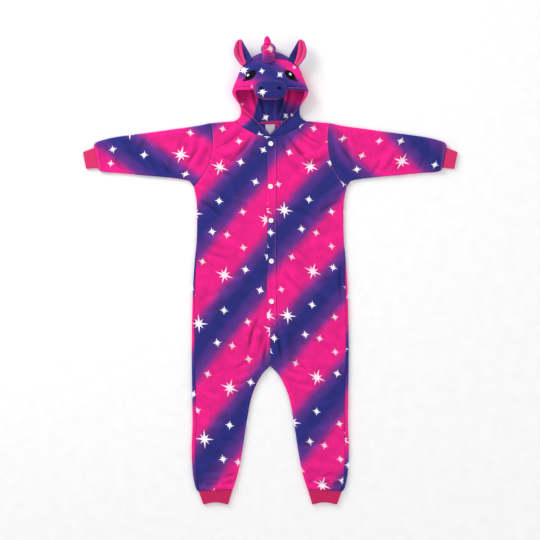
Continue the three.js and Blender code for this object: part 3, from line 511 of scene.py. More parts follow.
class Nodes:
    """Adds and joins the nodes of one node tree."""

    def __init__(self, tree: bpy.types.NodeTree) -> None:
        """Takes the tree to work on."""
        self.tree = tree

    def add(self, kind: str, inputs: dict[str | int, object] | None = None, **settings: object) -> bpy.types.Node:
        """Adds a node.

        Args:
            kind: Its type.
            inputs: What goes into it: a socket to join, or a value to set.
            settings: Its own settings.

        Returns:
            The new node.
        """
        node = self.tree.nodes.new(kind)
        for name, value in settings.items():
            setattr(node, name, value)
        for key, value in (inputs or {}).items():
            if isinstance(value, bpy.types.NodeSocket):
                self.tree.links.new(value, node.inputs[key])
            else:
                node.inputs[key].default_value = value
        return node

    def math(self, operation: str, first: object, second: object = 0.0, clamp: bool = False) -> bpy.types.NodeSocket:
        """One sum of two values, and its result."""
        return self.add("ShaderNodeMath", {0: first, 1: second}, operation=operation, use_clamp=clamp).outputs[0]

    def vector(self, operation: str, first: object, second: object) -> bpy.types.NodeSocket:
        """One sum of two vectors, and its result."""
        return self.add("ShaderNodeVectorMath", {0: first, 1: second}, operation=operation).outputs[0]

    def ramp(self, factor: bpy.types.NodeSocket, stops: Sequence[tuple[float, tuple]]) -> bpy.types.NodeSocket:
        """A row of colours, each at its place from 0 to 1."""
        node = self.add("ShaderNodeValToRGB", {"Fac": factor})
        band = node.color_ramp
        while len(band.elements) < len(stops):
            band.elements.new(1.0)
        for element, (place, colour) in zip(band.elements, stops):
            element.position = place
            element.color = colour
        return node.outputs["Color"]

    def mix(self, factor: object, first: object, second: object, blend: str = "MIX") -> bpy.types.NodeSocket:
        """Mixes two colours."""
        node = self.add("ShaderNodeMix", data_type="RGBA", blend_type=blend)
        for index, value in ((0, factor), (6, first), (7, second)):
            if isinstance(value, bpy.types.NodeSocket):
                self.tree.links.new(value, node.inputs[index])
            else:
                node.inputs[index].default_value = value
        return node.outputs[2]

    def noise(self, vector: bpy.types.NodeSocket, scale: float, detail: float = 3.0) -> bpy.types.NodeSocket:
        """Even noise of so many bumps a metre, about 0.5."""
        node = self.add("ShaderNodeTexNoise", {"Vector": vector, "Scale": scale, "Detail": detail})
        return node.outputs["Fac"]


def new_material(name: str) -> tuple[bpy.types.Material, Nodes, bpy.types.Node]:
    """Makes an empty material.

    Args:
        name: Its name.

    Returns:
        The material, its nodes and its shader.
    """
    material = bpy.data.materials.new(name)
    material.use_nodes = True
    material.node_tree.nodes.clear()
    nodes = Nodes(material.node_tree)
    shader = nodes.add("ShaderNodeBsdfPrincipled")
    nodes.add("ShaderNodeOutputMaterial", {"Surface": shader.outputs[0]})
    return material, nodes, shader


def set_sockets(shader: bpy.types.Node, values: dict[str, object]) -> None:
    """Sets numbers and colours on the shader's own sockets."""
    for name, value in values.items():
        shader.inputs[name].default_value = value


@dataclass(frozen=True)
class FleecePrint:
    """Fleece printed with soft diagonal bands and stars, with painted shade from its band map.

    Attributes:
        name: The material's name.
        stars: The stars of the repeat.
        unit: The size of one repeat, or of one step of the map where nothing repeats.
        repeats: True where the stars come again in every repeat.
    """

    name: str
    stars: tuple[Star, ...]
    unit: tuple[float, float]
    repeats: bool = True

    PINK = (236, 30, 135)
    VIOLET = (100, 50, 140)
    BLUE = (40, 44, 124)
    BANDS = (
        (0.0, PINK),
        (0.17, PINK),
        (0.29, VIOLET),
        (0.42, BLUE),
        (0.55, BLUE),
        (0.71, VIOLET),
        (0.83, PINK),
        (1.0, PINK),
    )
    WHITE = (252, 248, 255)
    PALE_PINK = (252, 192, 224)

    def star_mask(self, nodes: Nodes, place: bpy.types.NodeSocket, star: Star) -> bpy.types.NodeSocket:
        """How far one star covers each place.

        Args:
            nodes: The material's nodes.
            place: The place in the repeat.
            star: The star.

        Returns:
            A share from 0 to 1.
        """
        away = nodes.vector("SUBTRACT", place, (star.across, star.down, 0.0))
        if self.repeats:
            whole = nodes.add("ShaderNodeVectorMath", {0: nodes.vector("ADD", away, (0.5, 0.5, 0.5))}, operation="FLOOR")
            away = nodes.vector("SUBTRACT", away, whole.outputs[0])
        away = nodes.vector("MULTIPLY", away, (self.unit[0] / star.reach, self.unit[1] / star.reach, 0.0))
        covers = []
        slender = 2.0 + star.reach / 6.0
        for turn, size in ((0.0, 1.0), (45.0, 0.68)):
            turned = nodes.add(
                "ShaderNodeVectorRotate",
                {"Vector": away, "Angle": math.radians(-star.turn - turn)},
                rotation_type="Z_AXIS",
            )
            parts = nodes.add("ShaderNodeSeparateXYZ", {0: turned.outputs[0]})
            reaches = [nodes.math("ABSOLUTE", parts.outputs[axis]) for axis in (0, 1)]
            across = nodes.math("MULTIPLY", nodes.math("MINIMUM", *reaches), slender)
            along = nodes.math("DIVIDE", nodes.math("MAXIMUM", *reaches), size)
            covers.append(nodes.math("ADD", along, across))
        nearest = nodes.math("MINIMUM", *covers)
        spread = nodes.add("ShaderNodeMapRange", {0: nearest, 1: 1.06, 2: 0.9, 3: 0.0, 4: star.white})
        return spread.outputs[0]

    def build(self) -> bpy.types.Material:
        """Makes the material."""
        material, nodes, shader = new_material(self.name)
        cell = nodes.add("ShaderNodeUVMap", uv_map="cell").outputs[0]
        band = nodes.add("ShaderNodeUVMap", uv_map="band").outputs[0]
        place = nodes.add("ShaderNodeTexCoord").outputs["Object"]
        wander = nodes.math("MULTIPLY", nodes.math("SUBTRACT", nodes.noise(place, 14.0), 0.5), 0.075)
        grainy = nodes.math("MULTIPLY", nodes.math("SUBTRACT", nodes.noise(place, 260.0, 2.0), 0.5), 0.05)
        maps = nodes.add("ShaderNodeSeparateXYZ", {0: band})
        phase = maps.outputs[0]
        phase = nodes.math("ADD", nodes.math("ADD", phase, 0.47), nodes.math("ADD", wander, grainy))
        colour = nodes.ramp(nodes.math("FRACT", phase), [(at, linear(*rgb)) for at, rgb in self.BANDS])
        cover = None
        for star in self.stars:
            mask = self.star_mask(nodes, cell, star)
            cover = mask if cover is None else nodes.math("MAXIMUM", cover, mask)
        pink = nodes.math("MULTIPLY", nodes.add("ShaderNodeSeparateColor", {0: colour}).outputs[0], 1.35, clamp=True)
        star_colour = nodes.mix(nodes.math("MULTIPLY", pink, 0.35), linear(*self.WHITE), linear(*self.PALE_PINK))
        mottle = nodes.noise(place, 46.0, 4.0)
        fibres = nodes.noise(place, 620.0, 3.0)
        patchy = nodes.add("ShaderNodeMapRange", {0: mottle, 1: 0.3, 2: 0.7, 3: 0.84, 4: 1.1}).outputs[0]
        fuzz = nodes.add("ShaderNodeMapRange", {0: fibres, 1: 0.3, 2: 0.7, 3: 0.86, 4: 1.12}).outputs[0]
        worn = nodes.math("MULTIPLY", patchy, fuzz)
        colour = nodes.add("ShaderNodeHueSaturation", {"Value": worn, "Color": colour}).outputs[0]
        colour = nodes.mix(cover, colour, star_colour)
        # Painted shade: the band map's v lowers the colour's value in dips and at seams.
        painted_shade_value = nodes.math("SUBTRACT", 1.0, maps.outputs[1])
        colour = nodes.add("ShaderNodeHueSaturation", {"Value": painted_shade_value, "Color": colour}).outputs[0]
        height = nodes.math("ADD", nodes.math("MULTIPLY", mottle, 0.8), fibres)
        bump = nodes.add("ShaderNodeBump", {"Strength": 0.5, "Distance": 0.0012, "Height": height})
        rough = nodes.add("ShaderNodeMapRange", {0: mottle, 1: 0.3, 2: 0.7, 3: 0.78, 4: 0.94}).outputs[0]
        nodes.tree.links.new(colour, shader.inputs["Base Color"])
        nodes.tree.links.new(rough, shader.inputs["Roughness"])
        nodes.tree.links.new(bump.outputs[0], shader.inputs["Normal"])
        set_sockets(
            shader,
            {
                "Sheen Weight": 0.3,
                "Sheen Roughness": 0.45,
                "Sheen Tint": linear(255, 190, 225),
                "Specular IOR Level": 0.15,
            },
        )
        return material


@dataclass(frozen=True)
class PlainFleece:
    """Fleece or felt of one colour, with its nap.

    Attributes:
        name: The material's name.
        light: The colour of the raised nap.
        deep: The colour between the fibres.
        scale: How many tufts a metre it has.
        depth: How far the nap stands up, in metres.
        sheen: How much light the fibres catch.
        crease: The colour of the painted shade along the fold that the piece's map tells of, if it has one.
    """

    name: str
    light: tuple[int, int, int]
    deep: tuple[int, int, int]
    scale: float = 520.0
    depth: float = 0.0012
    sheen: float = 0.35
    crease: tuple[int, int, int] | None = None

    def build(self) -> bpy.types.Material:
        """Makes the material."""
        material, nodes, shader = new_material(self.name)
        place = nodes.add("ShaderNodeTexCoord").outputs["Object"]
        fibres = nodes.noise(place, self.scale, 3.0)
        patches = nodes.noise(place, 60.0, 3.0)
        share = nodes.math("ADD", nodes.math("MULTIPLY", fibres, 0.6), nodes.math("MULTIPLY", patches, 0.5))
        colour = nodes.ramp(share, [(0.38, linear(*self.deep)), (0.68, linear(*self.light))])
        # Painted shade: the band map's u mixes in the crease colour along the fold.
        if self.crease is not None:
            band = nodes.add("ShaderNodeUVMap", uv_map="band").outputs[0]
            deep = nodes.add("ShaderNodeSeparateXYZ", {0: band}).outputs[0]
            colour = nodes.mix(deep, colour, linear(*self.crease))
        bump = nodes.add("ShaderNodeBump", {"Strength": 0.5, "Distance": self.depth, "Height": share})
        nodes.tree.links.new(colour, shader.inputs["Base Color"])
        nodes.tree.links.new(bump.outputs[0], shader.inputs["Normal"])
        set_sockets(shader, {"Roughness": 0.88, "Sheen Weight": self.sheen, "Specular IOR Level": 0.2})
        return material


@dataclass(frozen=True)
class RibKnit:
    """Ribbed cuff knit, with small stitches along each rib.

    Attributes:
        name: The material's name.
        light: The colour on the ribs' tops, with painted light.
        deep: The colour between them, with painted shade.
        stitch: The length of one stitch along the rib, in millimetres.
    """

    name: str
    light: tuple[int, int, int]
    deep: tuple[int, int, int]
    stitch: float = 1.6

    def build(self) -> bpy.types.Material:
        """Makes the material."""
        material, nodes, shader = new_material(self.name)
        ribs = nodes.add("ShaderNodeUVMap", uv_map="cell").outputs[0]
        parts = nodes.add("ShaderNodeSeparateXYZ", {0: ribs})
        place = nodes.add("ShaderNodeTexCoord").outputs["Object"]
        turn = nodes.math("MULTIPLY", parts.outputs[0], 2 * math.pi)
        # Painted shade: the grooves between the ribs get shade and the rib tops light.
        crest = nodes.math("ADD", nodes.math("MULTIPLY", nodes.math("COSINE", turn), -0.5), 0.5)
        lean = nodes.math("MULTIPLY", nodes.math("ABSOLUTE", nodes.math("SINE", nodes.math("MULTIPLY", turn, 0.5))), 2.2)
        row = nodes.math("MULTIPLY", parts.outputs[1], 2 * math.pi / self.stitch)
        loops = nodes.math("ADD", nodes.math("MULTIPLY", nodes.math("SINE", nodes.math("ADD", row, lean)), 0.5), 0.5)
        fuzz = nodes.noise(place, 900.0, 2.0)
        share = nodes.math("ADD", nodes.math("MULTIPLY", crest, 0.62), nodes.math("MULTIPLY", loops, 0.16))
        share = nodes.math("ADD", share, nodes.math("MULTIPLY", fuzz, 0.3))
        colour = nodes.ramp(share, [(0.12, linear(*self.deep)), (0.75, linear(*self.light))])
        height = nodes.math("ADD", nodes.math("MULTIPLY", loops, 0.7), fuzz)
        bump = nodes.add("ShaderNodeBump", {"Strength": 0.5, "Distance": 0.0007, "Height": height})
        nodes.tree.links.new(colour, shader.inputs["Base Color"])
        nodes.tree.links.new(bump.outputs[0], shader.inputs["Normal"])
        set_sockets(shader, {"Roughness": 0.85, "Sheen Weight": 0.25, "Specular IOR Level": 0.2})
        return material


@dataclass(frozen=True)
class Satin:
    """Embroidery, tape or thread: fine parallel strands with a soft gloss.

    Attributes:
        name: The material's name.
        light: The colour of a strand's top.
        deep: The colour between the strands.
        strands: How many strands a metre there are.
        angle: How the strands are turned, in degrees.
        roughness: How dull they are.
        gloss: How much they reflect.
    """

    name: str
    light: tuple[int, int, int]
    deep: tuple[int, int, int]
    strands: float = 1800.0
    angle: float = 0.0
    roughness: float = 0.5
    gloss: float = 0.25

    def build(self) -> bpy.types.Material:
        """Makes the material."""
        material, nodes, shader = new_material(self.name)
        place = nodes.add("ShaderNodeTexCoord").outputs["Object"]
        turned = nodes.add(
            "ShaderNodeVectorRotate",
            {"Vector": place, "Angle": math.radians(self.angle)},
            rotation_type="Z_AXIS",
        )
        along = nodes.add("ShaderNodeSeparateXYZ", {0: turned.outputs[0]}).outputs[0]
        fuzz = nodes.noise(place, 1400.0, 2.0)
        wave = nodes.math("SINE", nodes.math("MULTIPLY", along, self.strands * 2 * math.pi))
        share = nodes.math("ADD", nodes.math("MULTIPLY", wave, 0.25), nodes.math("MULTIPLY", fuzz, 0.9))
        colour = nodes.ramp(share, [(0.2, linear(*self.deep)), (0.7, linear(*self.light))])
        bump = nodes.add("ShaderNodeBump", {"Strength": 0.4, "Distance": 0.0004, "Height": share})
        nodes.tree.links.new(colour, shader.inputs["Base Color"])
        nodes.tree.links.new(bump.outputs[0], shader.inputs["Normal"])
        set_sockets(shader, {"Roughness": self.roughness, "Specular IOR Level": self.gloss})
        return material


@dataclass(frozen=True)
class Resin:
    """Cast button resin: white, with a faint cloud in it and fine scratches."""

    name: str = "button_resin"

    def build(self) -> bpy.types.Material:
        """Makes the material."""
        material, nodes, shader = new_material(self.name)
        place = nodes.add("ShaderNodeTexCoord").outputs["Object"]
        cloud = nodes.noise(place, 160.0, 3.0)
        fine = nodes.noise(place, 2600.0, 2.0)
        colour = nodes.ramp(cloud, [(0.3, linear(232, 226, 230)), (0.65, linear(252, 250, 250))])
        rough = nodes.add("ShaderNodeMapRange", {0: fine, 1: 0.3, 2: 0.7, 3: 0.22, 4: 0.36}).outputs[0]
        bump = nodes.add("ShaderNodeBump", {"Strength": 0.15, "Distance": 0.0002, "Height": fine})
        nodes.tree.links.new(colour, shader.inputs["Base Color"])
        nodes.tree.links.new(rough, shader.inputs["Roughness"])
        nodes.tree.links.new(bump.outputs[0], shader.inputs["Normal"])
        set_sockets(shader, {"Coat Weight": 0.35, "Coat Roughness": 0.15})
        return material


@dataclass(frozen=True)
class Paper:
    """The pale floor: matt, with hardly any grain."""

    name: str = "floor_paper"

    def build(self) -> bpy.types.Material:
        """Makes the material."""
        material, nodes, shader = new_material(self.name)
        place = nodes.add("ShaderNodeTexCoord").outputs["Object"]
        grain = nodes.noise(place, 30.0, 2.0)
        colour = nodes.ramp(grain, [(0.3, linear(248, 248, 249)), (0.7, linear(252, 252, 253))])
        nodes.tree.links.new(colour, shader.inputs["Base Color"])
        set_sockets(shader, {"Roughness": 0.95, "Specular IOR Level": 0.1})
        return material


@dataclass
class Finishes:
    """Every material, made once."""

    body: bpy.types.Material = field(
        default_factory=lambda: FleecePrint("print_fleece", REPEAT_STARS, REPEAT_SIZE).build()
    )
    hood: bpy.types.Material = field(
        default_factory=lambda: FleecePrint("print_fleece_hood", HOOD_STARS, (HOOD_UNIT, HOOD_UNIT), False).build()
    )
    wrist: bpy.types.Material = field(
        default_factory=lambda: RibKnit("rib_knit_wrist", (236, 56, 122), (190, 22, 82)).build()
    )
    ankle: bpy.types.Material = field(
        default_factory=lambda: RibKnit("rib_knit_ankle", (222, 32, 106), (172, 12, 72)).build()
    )
    # The crease colour is painted shade along the lining's middle fold.
    lining: bpy.types.Material = field(
        default_factory=lambda: PlainFleece("ear_lining", (246, 66, 146), (220, 34, 112), crease=(150, 8, 66)).build()
    )
    mane: bpy.types.Material = field(
        default_factory=lambda: PlainFleece("mane_fleece", (142, 84, 152), (88, 46, 112), 420.0, 0.002).build()
    )
    black: bpy.types.Material = field(
        default_factory=lambda: Satin("black_felt", (22, 20, 21), (4, 4, 5), 1500.0, 48.0, 0.62, 0.06).build()
    )
    lash: bpy.types.Material = field(
        default_factory=lambda: Satin("lash_felt", (74, 14, 36), (36, 6, 18), 1500.0, 30.0, 0.6, 0.1).build()
    )
    white: bpy.types.Material = field(
        default_factory=lambda: Satin("white_felt", (250, 250, 252), (206, 204, 214), 1500.0, 20.0, 0.5).build()
    )
    label: bpy.types.Material = field(
        default_factory=lambda: Satin("label_tape", (206, 202, 208), (160, 156, 164), 1300.0, 90.0, 0.6).build()
    )
    tape: bpy.types.Material = field(
        default_factory=lambda: Satin("neck_tape", (214, 30, 104), (150, 14, 66), 900.0, 45.0, 0.75).build()
    )
    thread: bpy.types.Material = field(
        default_factory=lambda: Satin("pink_thread", (250, 132, 190), (214, 84, 150), 3000.0, 30.0, 0.6).build()
    )
    button: bpy.types.Material = field(default_factory=lambda: Resin().build())


# --------------------------------------------------------------------------------------------------- soft folds
@dataclass(frozen=True)
class Fold:
    """A ridge of cloth, or below zero a trough, from one point to another, bowed to one side.

    Attributes:
        start: Where it begins, in plan.
        end: Where it runs out, in plan.
        width: Half its width.
        height: How high it stands.
        bow: How far its middle lies to the left of the straight line.
    """

    start: tuple[float, float]
    end: tuple[float, float]
    width: float
    height: float
    bow: float = 0.0

    def lift(self, x: np.ndarray, y: np.ndarray) -> np.ndarray:
        """How far the cloth is lifted at each place."""
        span = np.subtract(self.end, self.start)
        length = float(np.hypot(*span))
        along_x, along_y = span / length
        along = (x - self.start[0]) * along_x + (y - self.start[1]) * along_y
        part = np.clip(along / length, 0, 1)
        across = (x - self.start[0]) * -along_y + (y - self.start[1]) * along_x
        across = across - self.bow * np.sin(math.pi * part)
        beyond = along - part * length
        taper = np.sin(math.pi * (0.12 + 0.76 * part))
        return self.height * taper * bell(np.hypot(across, beyond), self.width)


MAIN_FOLDS = (
    Fold((-28, -140), (-50, -236), 11, 6, -3),
    Fold((34, -160), (45, -252), 12, 4.5, 2),
    Fold((-30, -292), (-92, -318), 11, 4, 3),
    Fold((30, -292), (96, -322), 11, 4, -3),
    Fold((-120, -60), (-196, -96), 16, 3.5),
    Fold((126, -38), (200, -84), 16, 3.5),
    Fold((-66, 404), (-142, 352), 12, 4.5, 4),
    Fold((66, 404), (140, 346), 12, 4.5, -4),
    Fold((-58, 380), (-104, 306), 13, 3.5),
    Fold((56, 376), (108, 300), 13, 3.5),
    Fold((-206, 236), (-132, 190), 14, 3.5, 4),
    Fold((206, 238), (128, 196), 14, 3.5, -4),
    Fold((-206, 116), (-96, 84), 16, 2.5),
    Fold((206, 104), (110, 80), 16, 2.5),
    Fold((-110, -470), (-196, -452), 15, 3),
    Fold((108, -486), (198, -460), 15, 3),
    Fold((-122, -560), (-200, -584), 15, 3),
    Fold((122, -574), (206, -592), 15, 3),
    Fold((-196, 402), (-236, 318), 12, 4.5, 3),
    Fold((194, 408), (230, 322), 12, 4.5, -3),
    Fold((-318, 304), (-352, 372), 14, 3.5),
    Fold((326, 306), (366, 378), 14, 3.5),
    Fold((-420, 318), (-452, 380), 14, 3),
    Fold((414, 316), (446, 376), 14, 3),
)
SMALL_FOLDS = (
    Fold((-40, -140), (-62, -226), 6, -2.4, -3),
    Fold((-13, -217), (-22, -276), 5, -2.2),
    Fold((20, -186), (33, -262), 6, -2.0, 2),
    Fold((-96, 446), (-150, 398), 7, 2.4, 5),
    Fold((-84, 426), (-158, 372), 5, -1.9, 5),
    Fold((-60, 398), (-120, 330), 6, -1.8, 4),
    Fold((-48, 402), (-70, 340), 6, 2.0),
    Fold((98, 448), (152, 410), 7, 2.2, -4),
    Fold((84, 428), (150, 384), 5, -1.8, -4),
    Fold((60, 398), (118, 326), 6, -1.8, -4),
    Fold((44, 400), (66, 334), 6, 1.8),
    Fold((170, 372), (92, 344), 7, 2.0, 4),
    Fold((172, 350), (84, 316), 7, -1.7, 4),
    Fold((178, 330), (96, 300), 7, 1.8, 4),
    Fold((-172, 352), (-112, 322), 7, 1.8, -4),
    Fold((-178, 320), (-108, 286), 6, -1.6, -4),
    Fold((-214, 214), (-150, 172), 6, -1.8, 3),
    Fold((-216, 252), (-166, 232), 6, 2.0),
    Fold((214, 216), (140, 172), 6, -1.8, -3),
    Fold((216, 252), (160, 226), 6, 2.0),
    Fold((52, 60), (110, 20), 8, 1.3, 6),
    Fold((40, 6), (96, -58), 8, -1.2, -5),
    Fold((-48, 20), (-120, -30), 9, 1.3, 6),
    Fold((-60, 210), (-128, 236), 9, 1.2, 5),
    Fold((64, 190), (150, 150), 9, -1.1, 5),
    Fold((-190, 60), (-130, 40), 8, -1.2),
    Fold((196, -10), (140, -34), 8, -1.4),
    Fold((-60, -262), (-108, -290), 6, -1.6),
    Fold((60, -262), (112, -294), 6, -1.6),
    Fold((-58, -330), (-128, -350), 8, 1.8, 4),
    Fold((60, -332), (134, -352), 8, 1.8, -4),
    Fold((-150, -380), (-206, -360), 9, 1.4),
    Fold((146, -400), (210, -384), 9, 1.4),
    Fold((-96, -508), (-152, -496), 7, -1.4),
    Fold((96, -520), (160, -508), 7, -1.4),
    Fold((-160, -648), (-112, -616), 7, 2.6, 8),
    Fold((-150, -640), (-104, -606), 5, -1.6, 8),
    Fold((-206, -640), (-168, -628), 6, 1.8, 5),
    Fold((124, -640), (168, -620), 6, 2.2, 8),
    Fold((176, -642), (212, -622), 6, 2.2, 8),
    Fold((150, -624), (196, -604), 6, -1.4, 6),
    Fold((-150, -604), (-192, -612), 8, 1.5),
    Fold((221, 34), (219, -77), 6, 2.0, -3),
    Fold((212, 28), (211, -70), 4, -1.3, -3),
    Fold((-206, 386), (-246, 330), 6, -2.0, 3),
    Fold((-232, 398), (-276, 300), 8, 1.8, 6),
    Fold((-262, 414), (-300, 330), 8, -1.2, 5),
    Fold((204, 392), (240, 332), 6, -2.0, -3),
    Fold((234, 404), (272, 306), 8, 1.8, -6),
    Fold((-300, 296), (-330, 340), 6, -1.7, 3),
    Fold((-350, 300), (-384, 352), 7, 1.6, 3),
    Fold((-376, 404), (-398, 356), 8, -1.3),
    Fold((300, 292), (334, 340), 6, -1.7, -3),
    Fold((352, 300), (384, 350), 7, 1.6, -3),
    Fold((392, 404), (404, 352), 8, -1.3),
    Fold((-470, 306), (-486, 350), 6, 1.6),
    Fold((-486, 394), (-478, 360), 6, 1.4),
    Fold((474, 306), (488, 350), 6, 1.6),
    Fold((490, 392), (480, 356), 6, 1.4),
    Fold((-444, 300), (-466, 344), 5, -1.2),
    Fold((440, 302), (462, 344), 5, -1.2),
)
BACK_FOLDS = (
    Fold((-60, 410), (-150, 330), 14, 2.4, 6),
    Fold((60, 410), (150, 330), 14, 2.4, -6),
    Fold((-40, 120), (-190, 60), 18, 2.0, 8),
    Fold((40, 100), (190, 60), 18, 2.0, -8),
    Fold((-20, -160), (-60, -262), 14, 2.6, -6),
    Fold((20, -150), (58, -262), 14, 2.6, 6),
    Fold((-90, -330), (-210, -350), 15, 2.2, 6),
    Fold((90, -330), (210, -356), 15, 2.2, -6),
    Fold((-110, -500), (-210, -480), 15, 2.0, 5),
    Fold((110, -506), (210, -486), 15, 2.0, -5),
    Fold((-120, 230), (-210, 236), 12, 2.2),
    Fold((120, 230), (210, 236), 12, 2.2),
    Fold((-320, 300), (-352, 380), 14, 2.4),
    Fold((326, 300), (360, 380), 14, 2.4),
)


def rumple(x: np.ndarray, y: np.ndarray) -> np.ndarray:
    """The slow, uneven swell of soft cloth that was smoothed by hand, about a millimetre high."""
    slow = np.sin(x / 23.0 + 1.7 * np.sin(y / 61.0)) * np.sin(y / 37.0 + 1.3 * np.sin(x / 47.0))
    quick = np.sin((x + 0.7 * y) / 13.0 + 1.1 * np.sin(y / 29.0)) * np.sin((y - 0.5 * x) / 17.0)
    return 0.55 * slow + 0.3 * quick


def front_lift(x: np.ndarray, y: np.ndarray) -> np.ndarray:
    """How far the folds lift the upper cloth in plan; the strip under the placket stays nearly flat."""
    free = np.maximum(smoothstep(-167.0, -189.0, y), smoothstep(40.0, 52.0, np.abs(x)))
    lift = sum(fold.lift(x, y) for fold in MAIN_FOLDS) * free
    calm = 0.25 + 0.75 * np.maximum(smoothstep(-167.0, -189.0, y), smoothstep(22.0, 44.0, np.abs(x)))
    return lift + calm * (sum(fold.lift(x, y) for fold in SMALL_FOLDS) + rumple(x, y))


def back_lift(x: np.ndarray, y: np.ndarray) -> np.ndarray:
    """How far the folds lift the lower cloth off the surface."""
    return np.clip(sum(fold.lift(x, y) for fold in BACK_FOLDS) * 0.8, 0.0, 2.2)


# -------------------------------------------------------------------------------------------------- the body
SIDE_EDGE = SeamLine(
    [
        (217.5, -658.5, -3),
        (223, -649.5, -4),
        (231, -613.5, -6),
        (236, -535.5, -6.5),
        (233.5, -466.5, -6.5),
        (234, -376.5, -6),
        (235.5, -235.5, -4),
        (232, -55.5, -1.5),
        (226.5, 31.5, 0.5),
        (221.5, 88.5, 7.4),
        (220, 163.5, 7.46),
        (222, 214.5, 7.46),
        (229.5, 253.5, 7.46),
    ]
)
INSEAM = SeamLine(
    [(111, -652.5), (96, -604.5), (84, -541.5), (71.5, -462), (57, -382.5), (39, -334.5), (21, -304.5), (0, -283.5)]
)
ARMHOLE = SeamLine([(229.5, 253.5), (201, 289.5), (183, 325.5), (172.5, 388.5), (177, 445.5)])
NECKLINE = np.array([(0, 403.5), (42, 410), (78, 429), (108, 451.5)], float)
HEM_Y = -658.5
CROTCH_Y = -283.5
CHEST_Y = 215.0
UNDERARM_Y = 253.5
CENTRE_TOP_Y = 403.5
BACK_NECK_Y = 451.5
SHOULDER_BEND = (96.0, 112.0)
ARMHOLE_STEPS = 6
BELOW_NECK_STEPS = 3


def neckline(share: float | np.ndarray) -> tuple[np.ndarray, np.ndarray]:
    """The neckline from the centre front (share 0) to the shoulder (share 1), as x and y."""
    place = np.clip(share, 0, 1) * (len(NECKLINE) - 1)
    steps = np.arange(len(NECKLINE))
    return np.interp(place, steps, NECKLINE[:, 0]), np.interp(place, steps, NECKLINE[:, 1])


def shoulder_y(x: np.ndarray) -> np.ndarray:
    """The height of the shoulder seam at each x."""
    return lerp(NECKLINE[-1, 1], ARMHOLE.points[-1, 1], np.clip((x - 108) / (177 - 108), 0, 1))


@dataclass(frozen=True)
class PanelRow:
    """One row of a body panel, from its inner to its outer end.

    Attributes:
        inner: The inner end in plan.
        outer: The outer end in plan.
        inner_turn: How far the cloth turns over at the inner end.
        wrap: Where the side seam lies, measured from where the edge starts to turn.
        tangent: How far from the outer end the edge starts to turn.
        row_turn: How far the row itself is turned down, at the shoulder.
        leg: The share of the leg below this row.
        armhole: True for a row that ends at the armhole.
        shoulder: True for a row of the shoulder seam's turned edge.
    """

    inner: tuple[float, float]
    outer: tuple[float, float]
    inner_turn: float
    wrap: float
    tangent: float
    row_turn: float = 0.0
    leg: float = 1.0
    armhole: bool = False
    shoulder: bool = False


